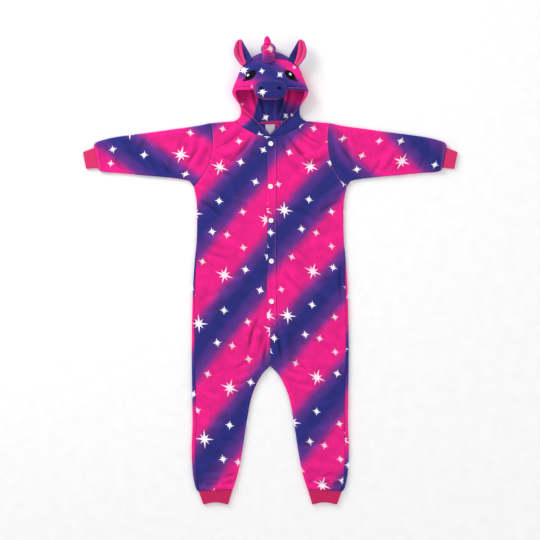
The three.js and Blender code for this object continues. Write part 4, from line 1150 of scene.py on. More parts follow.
@dataclass
class BodyPanels:
    """The two fronts and the two backs, each in one with its leg.

    Attributes:
        finishes: The materials.
        places: How the print lies on the wearer's left and right front.
        flat_steps: Even places across the flat part of a row.
        hem_roll: How high the cloth rolls up just above the ankle cuff.
    """

    finishes: Finishes
    places: dict[Side, PrintPlace] = field(
        default_factory=lambda: {
            Side.LEFT: PrintPlace((42, 184), (268, -33), (8, -314), ease=(2, -2)),
            Side.RIGHT: PrintPlace((-229, 174), (278, -16), (14, -322), ease=(1, -8)),
        }
    )
    flat_steps: int = 62
    hem_roll: float = 3.5

    def rows(self, is_back: bool) -> list[PanelRow]:
        """The rows of a panel from the leg's hem to the shoulder."""
        rows = []
        fine = [0.0, 0.002, 0.005, 0.009, 0.014, 0.02, 0.03, 0.042, 0.056, 0.072]
        for part in [*fine, *np.linspace(0.09, 0.985, 78)]:
            outer = SIDE_EDGE.at_height(lerp(HEM_Y, CROTCH_Y, part))
            inner = tuple(INSEAM.at(part))
            rows.append(PanelRow(inner, tuple(outer[:2]), QUARTER, outer[2], HALF_STACK, leg=float(part)))
        for part in np.linspace(0, 1, 112):
            y = float(lerp(CROTCH_Y, CHEST_Y, part))
            outer = SIDE_EDGE.at_height(lerp(CROTCH_Y, UNDERARM_Y, part))
            turn = QUARTER * float(smoothstep(CROTCH_Y + 66, CROTCH_Y, y))
            rows.append(PanelRow((0.0, y), tuple(outer[:2]), turn, outer[2], HALF_STACK))
        turns = np.radians([75, 60, 45, 30, 15, 0])
        for index, turn in enumerate(turns):
            along = HALF_STACK * (1 - math.sin(turn))
            step = 0.12 * (index + 1) / len(turns)
            rows.append(self.armhole_row(is_back, along, step, float(turn)))
        for step in np.linspace(0, ARMHOLE_STEPS, 49)[1:-1]:
            along = lerp(HALF_STACK, ARMHOLE.length - HALF_STACK, step / ARMHOLE_STEPS)
            rows.append(self.armhole_row(is_back, float(along), float(step), 0.0))
        neck = (0.0, BACK_NECK_Y) if is_back else tuple(float(value) for value in neckline(1.0))
        for turn in np.radians([0, 14, 28, 42, 56, 70, 80, 88.2]):
            outer = tuple(ARMHOLE.at(1.0))
            rows.append(PanelRow(neck, outer, 0.0, 0.0, 0.0, float(turn), armhole=True, shoulder=True))
        return rows

    def armhole_row(self, is_back: bool, along: float, step: float, turn: float) -> PanelRow:
        """A row that ends at the armhole.

        Args:
            is_back: True for a back panel.
            along: How far along the armhole it ends.
            step: How far up the armhole it is, in steps.
            turn: How far its outer end turns over.

        Returns:
            The row.
        """
        if is_back:
            inner = (0.0, float(lerp(CHEST_Y, BACK_NECK_Y - HALF_STACK, step / ARMHOLE_STEPS)))
        elif step <= BELOW_NECK_STEPS:
            inner = (0.0, float(lerp(CHEST_Y, CENTRE_TOP_Y, step / BELOW_NECK_STEPS)))
        else:
            share = (step - BELOW_NECK_STEPS) / (ARMHOLE_STEPS - BELOW_NECK_STEPS)
            inner = tuple(float(value) for value in neckline(share))
        outer = tuple(ARMHOLE.at(along / ARMHOLE.length))
        return PanelRow(inner, outer, 0.0, HALF_STACK * turn, HALF_STACK * math.sin(turn), armhole=True)

    def row_points(
        self, row: PanelRow, side: Side, is_back: bool, length: np.ndarray, offset: float
    ) -> tuple[np.ndarray, np.ndarray]:
        """The points of one row.

        Args:
            row: The row.
            side: The wearer's side.
            is_back: True for a back panel.
            length: Places along the row's cloth.
            offset: How far from the middle plane of the stack the face lies.

        Returns:
            The points, and the same places laid out flat.
        """
        inner, outer = np.array(row.inner), np.array(row.outer)
        across = float(np.hypot(*(outer - inner)))
        inner_arc, inner_start = HALF_STACK * row.inner_turn, HALF_STACK * math.sin(row.inner_turn)
        outer_start = across - row.tangent
        before = inner_arc - length
        after = length - inner_arc - (outer_start - inner_start)
        turn_in = before / HALF_STACK
        turn_out = np.minimum(after / HALF_STACK, math.pi)
        past = np.maximum(0, after - math.pi * HALF_STACK)
        along = inner_start - before
        along = np.where(before > 0, inner_start - offset * np.sin(turn_in), along)
        along = np.where(after > 0, outer_start + offset * np.sin(turn_out) - past, along)
        lift = np.where(before > 0, np.cos(turn_in), np.where(after > 0, np.cos(turn_out), 1.0))
        x = lerp(inner[0], outer[0], along / across)
        y = lerp(inner[1], outer[1], along / across)
        turn = np.full_like(x, row.row_turn)
        if row.shoulder:
            if is_back:
                turn = turn * smoothstep(*SHOULDER_BEND, x)
            y = shoulder_y(x) - HALF_STACK * (1 - math.sin(row.row_turn)) - (HALF_STACK - offset) * np.sin(turn)
        height = offset * lift * np.cos(turn)
        upper = np.maximum(0, lift) * np.cos(turn)
        if is_back:
            height = height - back_lift(side.value * x, y) * upper
        else:
            hem = row.leg * INSEAM.length
            drawn = float(bell(np.array(hem - 9.0), 9.0)) if row.leg > 0 else 0.0
            roll = drawn * (self.hem_roll + PUCKER * np.sin(2 * math.pi * length / PUCKER_PITCH + 2 * np.sin(x / 31)))
            settle = float(smoothstep(0.0, 4.0, hem))
            height = height + (front_lift(side.value * x, y) * settle + roll) * upper
        z = HALF_STACK + (-height if is_back else height)
        flat = inner_start - inner_arc + length
        plan = np.stack([lerp(inner[0], outer[0], flat / across), lerp(inner[1], outer[1], flat / across)], axis=1)
        return np.stack([side.value * x, y, z], axis=1), plan

    def skin(self, side: Side, is_back: bool) -> Skin:
        """The wall of one panel and its print."""
        faces: list[list[np.ndarray]] = [[], []]
        plans = []
        for index, row in enumerate(self.rows(is_back)):
            across = math.dist(row.inner, row.outer)
            flat = across - row.tangent - HALF_STACK * math.sin(row.inner_turn)
            turned = math.pi * HALF_STACK - row.wrap if is_back and not row.armhole else row.wrap
            total = HALF_STACK * row.inner_turn + flat + turned - SEAM_GAP / 2
            fine = np.array([0.0, 0.5, 1.2, 2.2, 3.4, 4.8, 6.4, 8.6])
            start, end = SEAM_GAP / 2 + fine, total - fine[::-1]
            extra = np.linspace(total - 17.0, total - 10.5, 4)
            middle = np.linspace(start[-1], extra[0], self.flat_steps + 2)[1:-1]
            lengths = np.concatenate([start, middle, extra, end])
            for face, offset in zip(faces, (HALF_STACK, HALF_STACK - FLEECE)):
                points, plan = self.row_points(row, side, is_back, lengths, offset)
                if index == 0:
                    points[:, 1] += SEAM_GAP / 2
                face.append(points)
            plans.append(plan)
        plan = np.array(plans)
        sign = -side.value if is_back else side.value
        place = self.places[Side(sign)]
        cell = place.cell(sign * plan[..., 0], plan[..., 1])
        skin = Skin(np.array(faces[0]), np.array(faces[1]), cell, place.phase(cell))
        skin.round_edges()
        return skin

    def build(self) -> None:
        """Makes the four panels."""
        for side in Side:
            for part, is_back in (("front", False), ("back", True)):
                name = f"{part}_{side.word}"
                skin = self.skin(side, is_back)
                made = make_cloth(f"{name}_panel", skin, self.finishes.body, Slot.PRINT, name)
                flat, area = skin.cut_size()


# ------------------------------------------------------------------------------------------ sleeves and cuffs
@dataclass(frozen=True)
class Ring:
    """Places round a flattened tube of cloth, from its seam at the lower edge round and back.

    Attributes:
        across: Each place across the ring, in mm from its lower edge.
        height: The cosine of how far the place has turned over: 1 on top, -1 underneath.
        swing: How far the place lies out over the edge, as a share of the wall's offset, towards the top edge.
        unrolled: Each place along the cloth from the seam, with one more that ends the round.
    """

    across: np.ndarray
    height: np.ndarray
    swing: np.ndarray
    unrolled: np.ndarray

    @staticmethod
    def of(width: float, half: float, count: int, arc: int = 8) -> "Ring":
        """The places round a ring of a given width.

        Args:
            width: The ring's width, laid flat.
            half: Half its height.
            count: Even places across its top, and across its underside.
            arc: Places round each turned edge.

        Returns:
            The ring.
        """
        even = np.linspace(half, width - half, count)
        top_arc = np.linspace(0, math.pi, arc + 2)[1:-1]
        up = np.linspace(QUARTER, 0, arc // 2 + 2)[:-1]
        across = np.concatenate([np.full(len(up), half), even, np.full(arc, width - half), even[::-1], np.full(len(up) - 1, half)])
        angle = np.concatenate([up, np.zeros(count), top_arc, np.full(count, math.pi), math.pi - up[1:][::-1]])
        sign = np.concatenate([np.full(len(up), -1.0), np.zeros(count), np.ones(arc), np.zeros(count), np.full(len(up) - 1, -1.0)])
        swing = np.sin(angle) * sign
        flat = width - 2 * half
        lengths = np.concatenate(
            [
                half * (QUARTER - up),
                half * QUARTER + (even - half),
                half * QUARTER + flat + half * top_arc,
                half * (QUARTER + math.pi) + flat + (width - half - even[::-1]),
                half * (QUARTER + math.pi) + 2 * flat + half * (QUARTER - up[1:][::-1]),
                [half * 2 * math.pi + 2 * flat],
            ]
        )
        return Ring(across, np.cos(angle), swing, lengths)


def seam_dip(distance: np.ndarray, reach: float = SEAM_REACH, depth: float = SEAM_DEPTH) -> np.ndarray:
    """How far the outer face goes down at each distance from a seam."""
    part = np.clip(1 - distance / reach, 0, 1)
    return depth * (1 - np.sqrt(1 - part * part))


@dataclass
class Sleeves:
    """The two sleeves, each a tube with its seam along the underarm.

    Attributes:
        finishes: The materials.
        places: How the print lies on each sleeve.
        roll: How high the cloth rolls up just before the cuff.
    """

    finishes: Finishes
    places: dict[Side, PrintPlace] = field(
        default_factory=lambda: {
            Side.LEFT: PrintPlace((206, 263), (66, 258), (309, -18)),
            Side.RIGHT: PrintPlace((-105, 446), (0, -262), (-316, -26)),
        }
    )
    roll: float = 3.5
    top_edge: SeamLine = field(
        default_factory=lambda: SeamLine(
            [
                (177, 445.5),
                (219, 436.5),
                (285, 427.5),
                (352.5, 418),
                (420, 409.5),
                (469.5, 402),
                (501, 394.5),
                (522, 387),
                (529, 378.5),
                (526.5, 372),
            ]
        )
    )
    under_edge: SeamLine = field(
        default_factory=lambda: SeamLine(
            [
                (229.5, 253.5),
                (242, 270),
                (262, 275.7),
                (318, 282.6),
                (387, 288.6),
                (453, 295),
                (500, 298.5),
                (513.5, 304),
                (514, 311),
            ]
        )
    )

    def hem_line(self, side: Side) -> np.ndarray:
        """The line across the top of the sleeve that its hem is stitched along."""
        row = self.skin(side).outer[-12]
        top = row[row[:, 2] > HALF_STACK * 1.6]
        return top + np.array([0.0, 0.0, 0.1])

    def skin(self, side: Side) -> Skin:
        """The wall of one sleeve and its print."""
        fine = np.array([0.0, 0.0015, 0.004, 0.007, 0.011, 0.016])
        parts = np.concatenate([fine, np.linspace(0.024, 0.94, 78), np.linspace(0.95, 0.984, 8), 1 - fine[::-1]])
        grids: list[list[np.ndarray]] = [[], []]
        plans = []
        for part in parts:
            under, top = self.under_edge.at(part), self.top_edge.at(part)
            width = float(math.dist(under, top))
            ring = Ring.of(width, HALF_STACK, 48)
            pull = (1 - part) ** 3
            drawn = math.exp(-(((part - 0.965) / 0.022) ** 2)) if part < 1 else 0.0
            roll = drawn * (self.roll + PUCKER * np.sin(2 * math.pi * ring.unrolled[:-1] / PUCKER_PITCH))
            settle = float(smoothstep(1.0, 0.985, part))
            dip = seam_dip(np.minimum(ring.unrolled[:-1], ring.unrolled[-1] - ring.unrolled[:-1]))
            for grid, offset in zip(grids, (HALF_STACK, HALF_STACK - FLEECE)):
                reach = offset - (dip if offset == HALF_STACK else 0.0)
                across = ring.across + ring.swing * reach
                share = across / width
                x, y = (lerp(under[axis], top[axis], share) for axis in (0, 1))
                straight_low, straight_high = self.under_edge.at(0), self.top_edge.at(0)
                held = np.clip(share, 0, 1)
                curve = np.array([ARMHOLE.at(value) for value in held])
                x = x + (curve[:, 0] - lerp(straight_low[0], straight_high[0], held)) * pull
                y = y + (curve[:, 1] - lerp(straight_low[1], straight_high[1], held)) * pull
                x = x + SEAM_GAP * math.exp(-((part / 0.002) ** 2))
                upper = np.maximum(0, ring.height)
                lower = np.maximum(0, -ring.height)
                z = HALF_STACK + reach * ring.height
                z = z + (front_lift(side.value * x, y) * settle + roll) * upper
                z = z + back_lift(side.value * x, y) * lower
                grid.append(np.stack([side.value * x, y, z], axis=1))
            share = (ring.unrolled - HALF_STACK * (QUARTER - 1)) / width
            plan = [side.value * lerp(under[0], top[0], share), lerp(under[1], top[1], share)]
            plans.append(np.stack(plan, axis=1))
        plan = np.array(plans)
        place = self.places[side]
        cell = place.cell(plan[..., 0], plan[..., 1])
        skin = Skin(np.array(grids[0]), np.array(grids[1]), cell, place.phase(cell), tube=True)
        skin.round_edges(sides="tb")
        return skin

    def build(self) -> None:
        """Makes both sleeves."""
        for side in Side:
            skin = self.skin(side)
            name = f"sleeve_{side.word}"
            made = make_cloth(f"{name}_tube", skin, self.finishes.body, Slot.PRINT, name)
            flat, area = skin.cut_size()


@dataclass
class Cuffs:
    """The wrist and ankle cuffs of folded rib knit.

    Attributes:
        finishes: The materials.
        pitch: The distance from rib to rib.
        rib: How high a rib stands.
        fold: How far the cuff's opening is rounded, where the knit is folded double; not used.
        ankle_arch: How far the middle of the ankle cuff's opening is drawn up.
    """

    finishes: Finishes
    pitch: float = 3.3
    rib: float = 0.75
    fold: float = 4.0
    ankle_arch: float = 7.0
    wrist: tuple[tuple[float, float], ...] = ((514.3, 311.3), (527, 371.5), (552, 307.5), (562, 358))
    ankle: tuple[tuple[float, float], ...] = ((112.5, -652.4), (214.5, -658), (126.5, -699.15), (200, -699.15))

    def skin(self, side: Side, corners: tuple, arch: float, towards: tuple[float, float]) -> Skin:
        """The wall of one cuff.

        Args:
            side: The wearer's side.
            corners: The lower and upper end of the seam, then of the opening, in plan.
            arch: How far the middle of the opening is drawn up.
            towards: The way it is drawn, in plan.

        Returns:
            The wall, with the ribs counted across its map.
        """
        under_in, top_in, under_out, top_out = (np.array(corner, float) for corner in corners)
        fine = np.array([0.0, 0.012, 0.03, 0.055, 0.085])
        parts = np.concatenate([fine, np.linspace(0.12, 0.86, 14), 1 - fine[::-1] * 1.2])
        length = math.dist(under_in, under_out)
        ribs = round((2 * math.dist(under_in, top_in)) / self.pitch)
        per_rib = 6
        places = np.linspace(0, 1, ribs * per_rib + 1)
        grids: list[list[np.ndarray]] = [[], []]
        cells = []
        for part in parts:
            under, top = lerp(under_in, under_out, part), lerp(top_in, top_out, part)
            width = float(math.dist(under, top))
            half = HALF_STACK - 0.5 * part
            ring = Ring.of(width, half, 40)
            share = places * ring.unrolled[-1]
            lengths = ring.unrolled
            read = [
                np.interp(share[:-1], lengths, np.append(values, values[0]))
                for values in (ring.across, ring.height, ring.swing)
            ]
            across_base, turned, swing = read
            norm = np.hypot(turned, swing)
            turned, swing = turned / np.maximum(norm, 0.4), swing / np.maximum(norm, 0.4)
            crest = 0.5 - 0.5 * np.cos(2 * math.pi * ribs * places[:-1])
            ends = float(smoothstep(0.0, 0.05, part) * smoothstep(1.0, 0.93, part))
            end_dip = float(seam_dip(np.array((1 - part) * length), 5.0, 1.5) + seam_dip(np.array(part * length)))
            for grid, is_outer in zip(grids, (True, False)):
                reach = half + (self.rib * (crest - 0.35) * ends - end_dip if is_outer else -FLEECE)
                across = across_base + swing * reach
                spot = across / width
                bow = arch * part * np.sin(math.pi * np.clip(spot, 0, 1))
                shift = bow - (SEAM_GAP if part == 0 else 0.0)
                x = lerp(under[0], top[0], spot) + towards[0] * shift
                y = lerp(under[1], top[1], spot) + towards[1] * shift
                z = np.maximum(half + reach * turned, 0.02) if is_outer else half + reach * turned
                grid.append(np.stack([side.value * x, y, z], axis=1))
            cells.append(np.stack([places * ribs, np.full(len(places), part * length)], axis=1))
        cell = np.array(cells)
        return Skin(np.array(grids[0]), np.array(grids[1]), cell, np.zeros(cell.shape[:2]), tube=True)

    def build(self) -> None:
        """Makes the four cuffs."""
        kinds = (
            ("wrist_cuff", self.wrist, 0.0, (-1.0, 0.0), self.finishes.wrist),
            ("ankle_cuff", self.ankle, self.ankle_arch, (0.0, 1.0), self.finishes.ankle),
        )
        for side in Side:
            for kind, corners, arch, towards, finish in kinds:
                skin = self.skin(side, corners, arch, towards)
                made = make_cloth(f"{kind}_{side.word}_knit", skin, finish, Slot.RIB, f"{kind}_{side.word}")
                flat, area = skin.cut_size()


# ---------------------------------------------------------------------------------------------- placket, buttons
@dataclass
class ButtonBand:
    """The placket and its five buttons.

    Attributes:
        finishes: The materials.
        place: How the print lies on it, which is that of the wearer's left front.
        left, right, top, bottom: The placket's edges.
        thick: How thick it is.
        sewn: Where the stitch line beside its sewn edge lies.
        radius: The radius of a button.
        button_thick: How thick a button is.
        buttons: Where the buttons are sewn on.
    """

    finishes: Finishes
    place: PrintPlace
    left: float = -9.0
    right: float = 18.0
    top: float = 402.0
    bottom: float = -165.0
    thick: float = 2.0
    sewn: float = 15.0
    radius: float = 7.5
    button_thick: float = 3.0
    buttons: tuple[tuple[float, float], ...] = ((1.6, 383), (1, 254.7), (2.3, 152.7), (3.5, 30.9), (3.8, -89.7))

    def edge_x(self, y: np.ndarray) -> np.ndarray:
        """How far the free edge wanders from straight at each height."""
        return 1.1 * np.sin(y / 46.0 + 0.6) + 0.7 * np.sin(y / 19.0)

    def placket_height(self, x: np.ndarray, y: np.ndarray) -> np.ndarray:
        """The height of the placket's top face, with its raised free edge and its stitch line."""
        part = (x - self.left) / (self.right - self.left)
        raised = 0.9 * bell(x - self.left - 2.6, 2.6) * (0.7 + 0.3 * np.sin(y / 27.0))
        stitched = -0.7 * bell(x - self.sewn, 1.0)
        ripple = 0.35 * np.sin(y / 8.5 + 1.5 * np.sin(y / 31.0)) * bell(x - self.sewn, 4.5)
        soft = 0.5 * np.sin(math.pi * part) * np.sin(y / 33.0 + 0.4)
        calm = 1 - sum(bell(np.hypot(x - bx, y - by), 11.0) for bx, by in self.buttons)
        return self.thick + raised + stitched + ripple + soft * np.clip(calm, 0, 1)

    def build(self) -> None:
        """Makes the placket and its buttons, with their thread."""
        ys = np.concatenate([near_edges(self.bottom, self.top, 150)])
        xs = near_edges(self.left, self.right, 12)
        x, y = np.meshgrid(xs, ys)
        sway = self.edge_x(y) * smoothstep(self.left + 9.0, self.left, x)
        floor = FRONT_TOP + SEAM_GAP + np.maximum(front_lift(x, y), -0.1)
        outer = np.stack([x + sway, y, floor + self.placket_height(x, y)], axis=2)
        inner = np.stack([x + sway, y, floor], axis=2)
        cell = self.place.cell(x, y)
        skin = Skin(outer, inner, cell, self.place.phase(cell))
        skin.round_edges(3.2, 1.5)
        made = make_cloth("placket_strip", skin, self.finishes.body, Slot.PRINT, "placket")
        flat, area = skin.cut_size()
        for number, (bx, by) in enumerate(self.buttons, 1):
            self.button(number, bx, by)

    def button(self, number: int, x: float, y: float) -> None:
        """Makes one button with four holes and its thread."""
        base = float(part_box(f"button_{number}")[0].z) / MM + 0.35
        hole_radius, hole_at, floor = 0.85, 1.75, 0.7
        radii = np.concatenate([np.linspace(0.12, 3.4, 26), np.linspace(3.7, self.radius - 0.5, 14)])
        rounding = np.radians(np.linspace(90, -60, 9))
        angles = np.linspace(0, 2 * math.pi, 112, endpoint=False)
        dish = self.button_thick - 0.9
        rings = []
        for radius in radii[::-1]:
            rim = bell(np.array(radius - (self.radius - 1.3)), 0.95) * 0.85
            height = np.full(len(angles), dish + float(rim))
            px, py = radius * np.cos(angles), radius * np.sin(angles)
            for hx, hy in ((hole_at, hole_at), (-hole_at, hole_at), (-hole_at, -hole_at), (hole_at, -hole_at)):
                away = np.hypot(px - hx * 0.7, py - hy * 0.7)
                height = height - (dish - floor) * smoothstep(hole_radius + 0.2, hole_radius - 0.15, away)
            rings.append(np.stack([px, py, height], axis=1))
        side = [
            np.stack(
                [
                    (self.radius - 0.75 + 0.75 * math.cos(turn)) * np.cos(angles),
                    (self.radius - 0.75 + 0.75 * math.cos(turn)) * np.sin(angles),
                    np.full(len(angles), self.button_thick / 2 - 0.25 + 1.3 * math.sin(turn)),
                ],
                axis=1,
            )
            for turn in rounding[::-1]
        ]
        rings = np.array([*side, *rings])
        rings += np.array([x, y, base])
        low = np.array([x, y, base + 0.1])
        high = np.array([x, y, base + dish])
        made = make_rounded(f"button_{number}_disc", low, rings, high, self.finishes.button)
        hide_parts(f"button_{number}")
        spots = []
        for sign in (-1, 1):
            for lane in (-0.28, 0.28):
                across = sign * hole_at * 0.7 + lane
                bar = [(across, t * hole_at * 0.7, dish + 0.28 * (1 - abs(t) ** 3)) for t in (-1.0, -0.6, 0.0, 0.6, 1.0)]
                spots.append(np.array(bar) + np.array([x, y, base]))
        thread = make_threads(f"button_{number}_thread", spots, 0.27, self.finishes.white)


def make_threads(
    name: str, lines: list[np.ndarray], radius: float, material: bpy.types.Material, sides: int = 7
) -> bpy.types.Object:
    """Makes short lengths of thread as one piece.

    Args:
        name: The piece's name.
        lines: The points of each length.
        radius: The thread's radius.
        material: Its finish.
        sides: How many sides it has.

    Returns:
        The new object.
    """
    points: list[np.ndarray] = []
    faces: list[tuple[int, ...]] = []
    start = 0
    angles = np.linspace(0, 2 * math.pi, sides, endpoint=False)
    for line in lines:
        ways = np.gradient(line, axis=0)
        ways /= np.linalg.norm(ways, axis=1, keepdims=True)
        up = np.array([0.0, 0.0, 1.0])
        for index, (spot, way) in enumerate(zip(line, ways)):
            aside = np.cross(way, up)
            aside /= max(float(np.linalg.norm(aside)), 1e-6)
            high = np.cross(aside, way)
            size = radius * (0.45 if index in (0, len(line) - 1) else 1.0)
            points.append(spot + size * (np.outer(np.cos(angles), aside) + np.outer(np.sin(angles), high)))
        for ring in range(len(line) - 1):
            low, top = start + ring * sides, start + (ring + 1) * sides
            for k in range(sides):
                faces.append((low + k, low + (k + 1) % sides, top + (k + 1) % sides, top + k))
        faces.append(tuple(start + k for k in range(sides))[::-1])
        faces.append(tuple(start + (len(line) - 1) * sides + k for k in range(sides)))
        start += len(line) * sides
    return make_mesh(name, np.concatenate(points), faces, material)


# ----------------------------------------------------------------------------------------------------- the hood
@dataclass(frozen=True)
class HoodRow:
    """One row of the hood, from the middle of its back round its edge to the rim of the face opening.

    Attributes:
        edge: The widest point.
        rim: The point on the rim.
        back_y: Where the row starts, in the middle of the back.
        base: The share of the underside that lies on the surface.
        sag: How closely the upper side follows the neckline.
    """

    edge: tuple[float, float, float]
    rim: tuple[float, float, float]
    back_y: float
    base: float
    sag: float = 0.0


HOOD_ROWS = (
    HoodRow((108, 451.8, 4.75), (0, 403.8, 9.8), 451.8, 0.96, 1.0),
    HoodRow((102, 454.5, 5.2), (0, 409.5, 11), 455, 0.8, 0.75),
    HoodRow((96, 459, 6), (21, 433.5, 13), 459, 0.6, 0.2),
    HoodRow((90.5, 467, 7.5), (43.5, 456, 16.5), 466, 0.4),
    HoodRow((88.5, 480, 11), (67, 477, 22), 478, 0.42),
    HoodRow((91, 497, 17), (87, 496, 30), 494, 0.5),
    HoodRow((106, 517, 23), (97, 514, 36), 514, 0.53),
    HoodRow((114.5, 536, 27), (103, 535, 40), 534, 0.55),
    HoodRow((110.5, 552, 28), (98, 541, 42), 552, 0.55),
    HoodRow((104, 568, 28), (85, 541.4, 44), 568, 0.55),
    HoodRow((97, 585, 28), (70, 541.6, 45.2), 583, 0.55),
    HoodRow((89, 605, 27), (55, 541.7, 46.4), 596, 0.55),
    HoodRow((74, 624, 26), (40, 541.8, 47.2), 606, 0.5),
    HoodRow((54, 641, 24), (26, 541.8, 47.8), 613, 0.42),
    HoodRow((28, 654, 22), (13, 541.8, 48), 618, 0.35),
    HoodRow((0, 659, 22), (0, 541.8, 48.1), 620, 0.3),
)
CROWN_ROW = 11
CROWN_SEAM_Y = (605.0, 619.0, 631.0, 636.0, 637.0)
FACE_FOLDS = (
    Fold((-96, 566), (-52, 560), 8, 1.6, -3),
    Fold((98, 566), (54, 562), 8, 1.6, 3),
    Fold((-100, 530), (-84, 500), 5, -1.6),
    Fold((100, 530), (86, 500), 5, -1.6),
    Fold((-84, 474), (-40, 440), 5, -2.2, 4),
    Fold((84, 474), (40, 440), 5, -2.2, -4),
    Fold((-96, 462), (-60, 428), 6, 1.6, 4),
    Fold((96, 462), (60, 428), 6, 1.6, -4),
    Fold((-70, 622), (-40, 590), 9, -1.2, 5),
    Fold((66, 618), (36, 592), 9, -1.2, -5),
)
INSIDE_FOLDS = (
    Fold((-44, 552), (-24, 462), 5.5, 9.0, -3),
    Fold((-31, 540), (-16, 470), 4.0, -1.5, -3),
    Fold((-66, 540), (-40, 470), 9.0, 3.0, -4),
    Fold((48, 552), (30, 462), 5.5, 9.0, 3),
    Fold((35, 540), (21, 470), 4.0, -1.5, 3),
    Fold((70, 540), (44, 470), 9.0, 3.0, 4),
    Fold((-12, 520), (-9, 466), 5.0, 3.0),
    Fold((14, 522), (12, 466), 5.0, 3.0),
)


class HoodShape:
    """The hood's form: a bowl of cloth that lies open, read at any row."""

    def __init__(self, count: int = 106) -> None:
        """Reads the table of rows smoothly.

        Args:
            count: How many rows are wanted.
        """
        self.place = np.linspace(0, len(HOOD_ROWS) - 1, count)
        self.edge = np.stack([by_share([row.edge[axis] for row in HOOD_ROWS], count) for axis in range(3)], axis=1)
        self.rim = np.stack([by_share([row.rim[axis] for row in HOOD_ROWS], count) for axis in range(3)], axis=1)
        self.back_y = by_share([row.back_y for row in HOOD_ROWS], count)
        self.base = by_share([row.base for row in HOOD_ROWS], count)
        self.sag = np.clip(by_share([row.sag for row in HOOD_ROWS], count), 0, 1)
        step = np.gradient(self.edge[:, :2], axis=0)
        inward = np.stack([-step[:, 1], step[:, 0], np.zeros(count)], axis=1)
        inward /= np.linalg.norm(inward, axis=1, keepdims=True)
        held = smoothstep(0.0, 1.0, self.place)[:, None]
        inward = inward * held + np.array([-1.0, 0.0, 0.0]) * (1 - held)
        inward[-1] = (0.0, -1.0, 0.0)
        self.inward = inward / np.linalg.norm(inward, axis=1, keepdims=True)
        seam_rows = np.arange(CROWN_ROW, len(HOOD_ROWS))
        seam_y = np.interp(self.place, seam_rows, CROWN_SEAM_Y)
        share = (self.edge[:, 1] - seam_y) / (self.edge[:, 1] - self.rim[:, 1])
        self.seam = np.where(self.place > CROWN_ROW, np.clip(share, 0, 1), 0.0)

    @staticmethod
    def forehead(x: np.ndarray, y: np.ndarray) -> np.ndarray:
        """The height of the domed forehead in plan."""
        return 49.0 - 7.0 * (x / 105.0) ** 2 - 9.0 * ((y - 565.0) / 72.0) ** 2

    def top(self, row: int, share: np.ndarray, depth: np.ndarray | float) -> np.ndarray:
        """Points of the hood's upper side.

        Args:
            row: The row.
            share: 0 at the hood's edge, 1 at the rim.
            depth: How deep in the cloth they lie.

        Returns:
            One point for each share.
        """
        edge, rim = self.edge[row], self.rim[row]
        neck_x, neck_y = neckline(1 - share)
        x = lerp(edge[0], rim[0], share) + self.sag[row] * (neck_x - lerp(NECKLINE[-1, 0], NECKLINE[0, 0], share))
        y = lerp(edge[1], rim[1], share) + self.sag[row] * (neck_y - lerp(NECKLINE[-1, 1], NECKLINE[0, 1], share))
        reach = float(np.hypot(*(rim[:2] - edge[:2])))
        inward = np.clip(share * reach / min(30.0, reach), 0, 1)
        high = lerp(rim[2], self.forehead(x, y), smoothstep(536.0, 552.0, float(edge[1])))
        height = np.sqrt(1 - (1 - inward) ** 2)
        points = np.stack([x, y, edge[2] + (high - edge[2]) * height], axis=1)
        points += self.inward[row] * (np.asarray(depth) * (1 - inward))[:, None]
        points[:, 2] -= depth * height
        return points

    def under(self, row: int, share: np.ndarray, depth: np.ndarray | float) -> np.ndarray:
        """Points of the hood's underside, from the middle of its back (share 0) to its edge (share 1)."""
        edge = self.edge[row]
        rising = np.clip((share - self.base[row]) / (1 - self.base[row]), 0, 1)
        flatness = np.sqrt(1 - rising**2)
        x, y = edge[0] * share, lerp(self.back_y[row], edge[1], share)
        points = np.stack([x, y, edge[2] * (1 - flatness)], axis=1)
        points += self.inward[row] * (np.asarray(depth) * rising)[:, None]
        points[:, 2] += depth * flatness
        return points


def hood_face_band(x: np.ndarray, y: np.ndarray) -> np.ndarray:
    """The phase of the bands on the outside of the hood, in plan."""
    face = (0.1563 * x + 0.2943 * y - 173.6) / 47.0
    low_right = -0.4 - 0.56 * smoothstep(526.0, 484.0, y)
    low_left = -0.47 - 0.08 * smoothstep(530.0, 480.0, y) - 0.42 * smoothstep(524.0, 478.0, y - 0.8 * x)
    low = lerp(low_left, low_right, smoothstep(-8.0, 8.0, x))
    aside = 0.0017 * np.maximum(0.0, x - 18.0) + 0.0022 * np.maximum(0.0, -x - 20.0)
    return lerp(low, face + aside, smoothstep(532.0, 548.0, y))


def hood_inside_band(x: np.ndarray, y: np.ndarray) -> np.ndarray:
    """The phase of the bands on the hood's back, as it shows inside the hood."""
    left = -0.5 + 0.2 * smoothstep(500.0, 462.0, y)
    slope = y + 0.35 * (x - 60)
    right = 0.46 - 0.2 * smoothstep(536.0, 496.0, slope) - 0.12 * smoothstep(498.0, 466.0, slope)
    middle = 0.16 * bell(x - 16.0, 10.0) - 0.02
    edge_left, edge_right = smoothstep(-34.0, -46.0, x - 0.22 * (y - 510)), smoothstep(34.0, 46.0, x + 0.2 * (y - 510))
    inside = middle * (1 - edge_left) * (1 - edge_right) + left * edge_left + right * edge_right
    return lerp(inside, -0.12, smoothstep(598.0, 622.0, y))


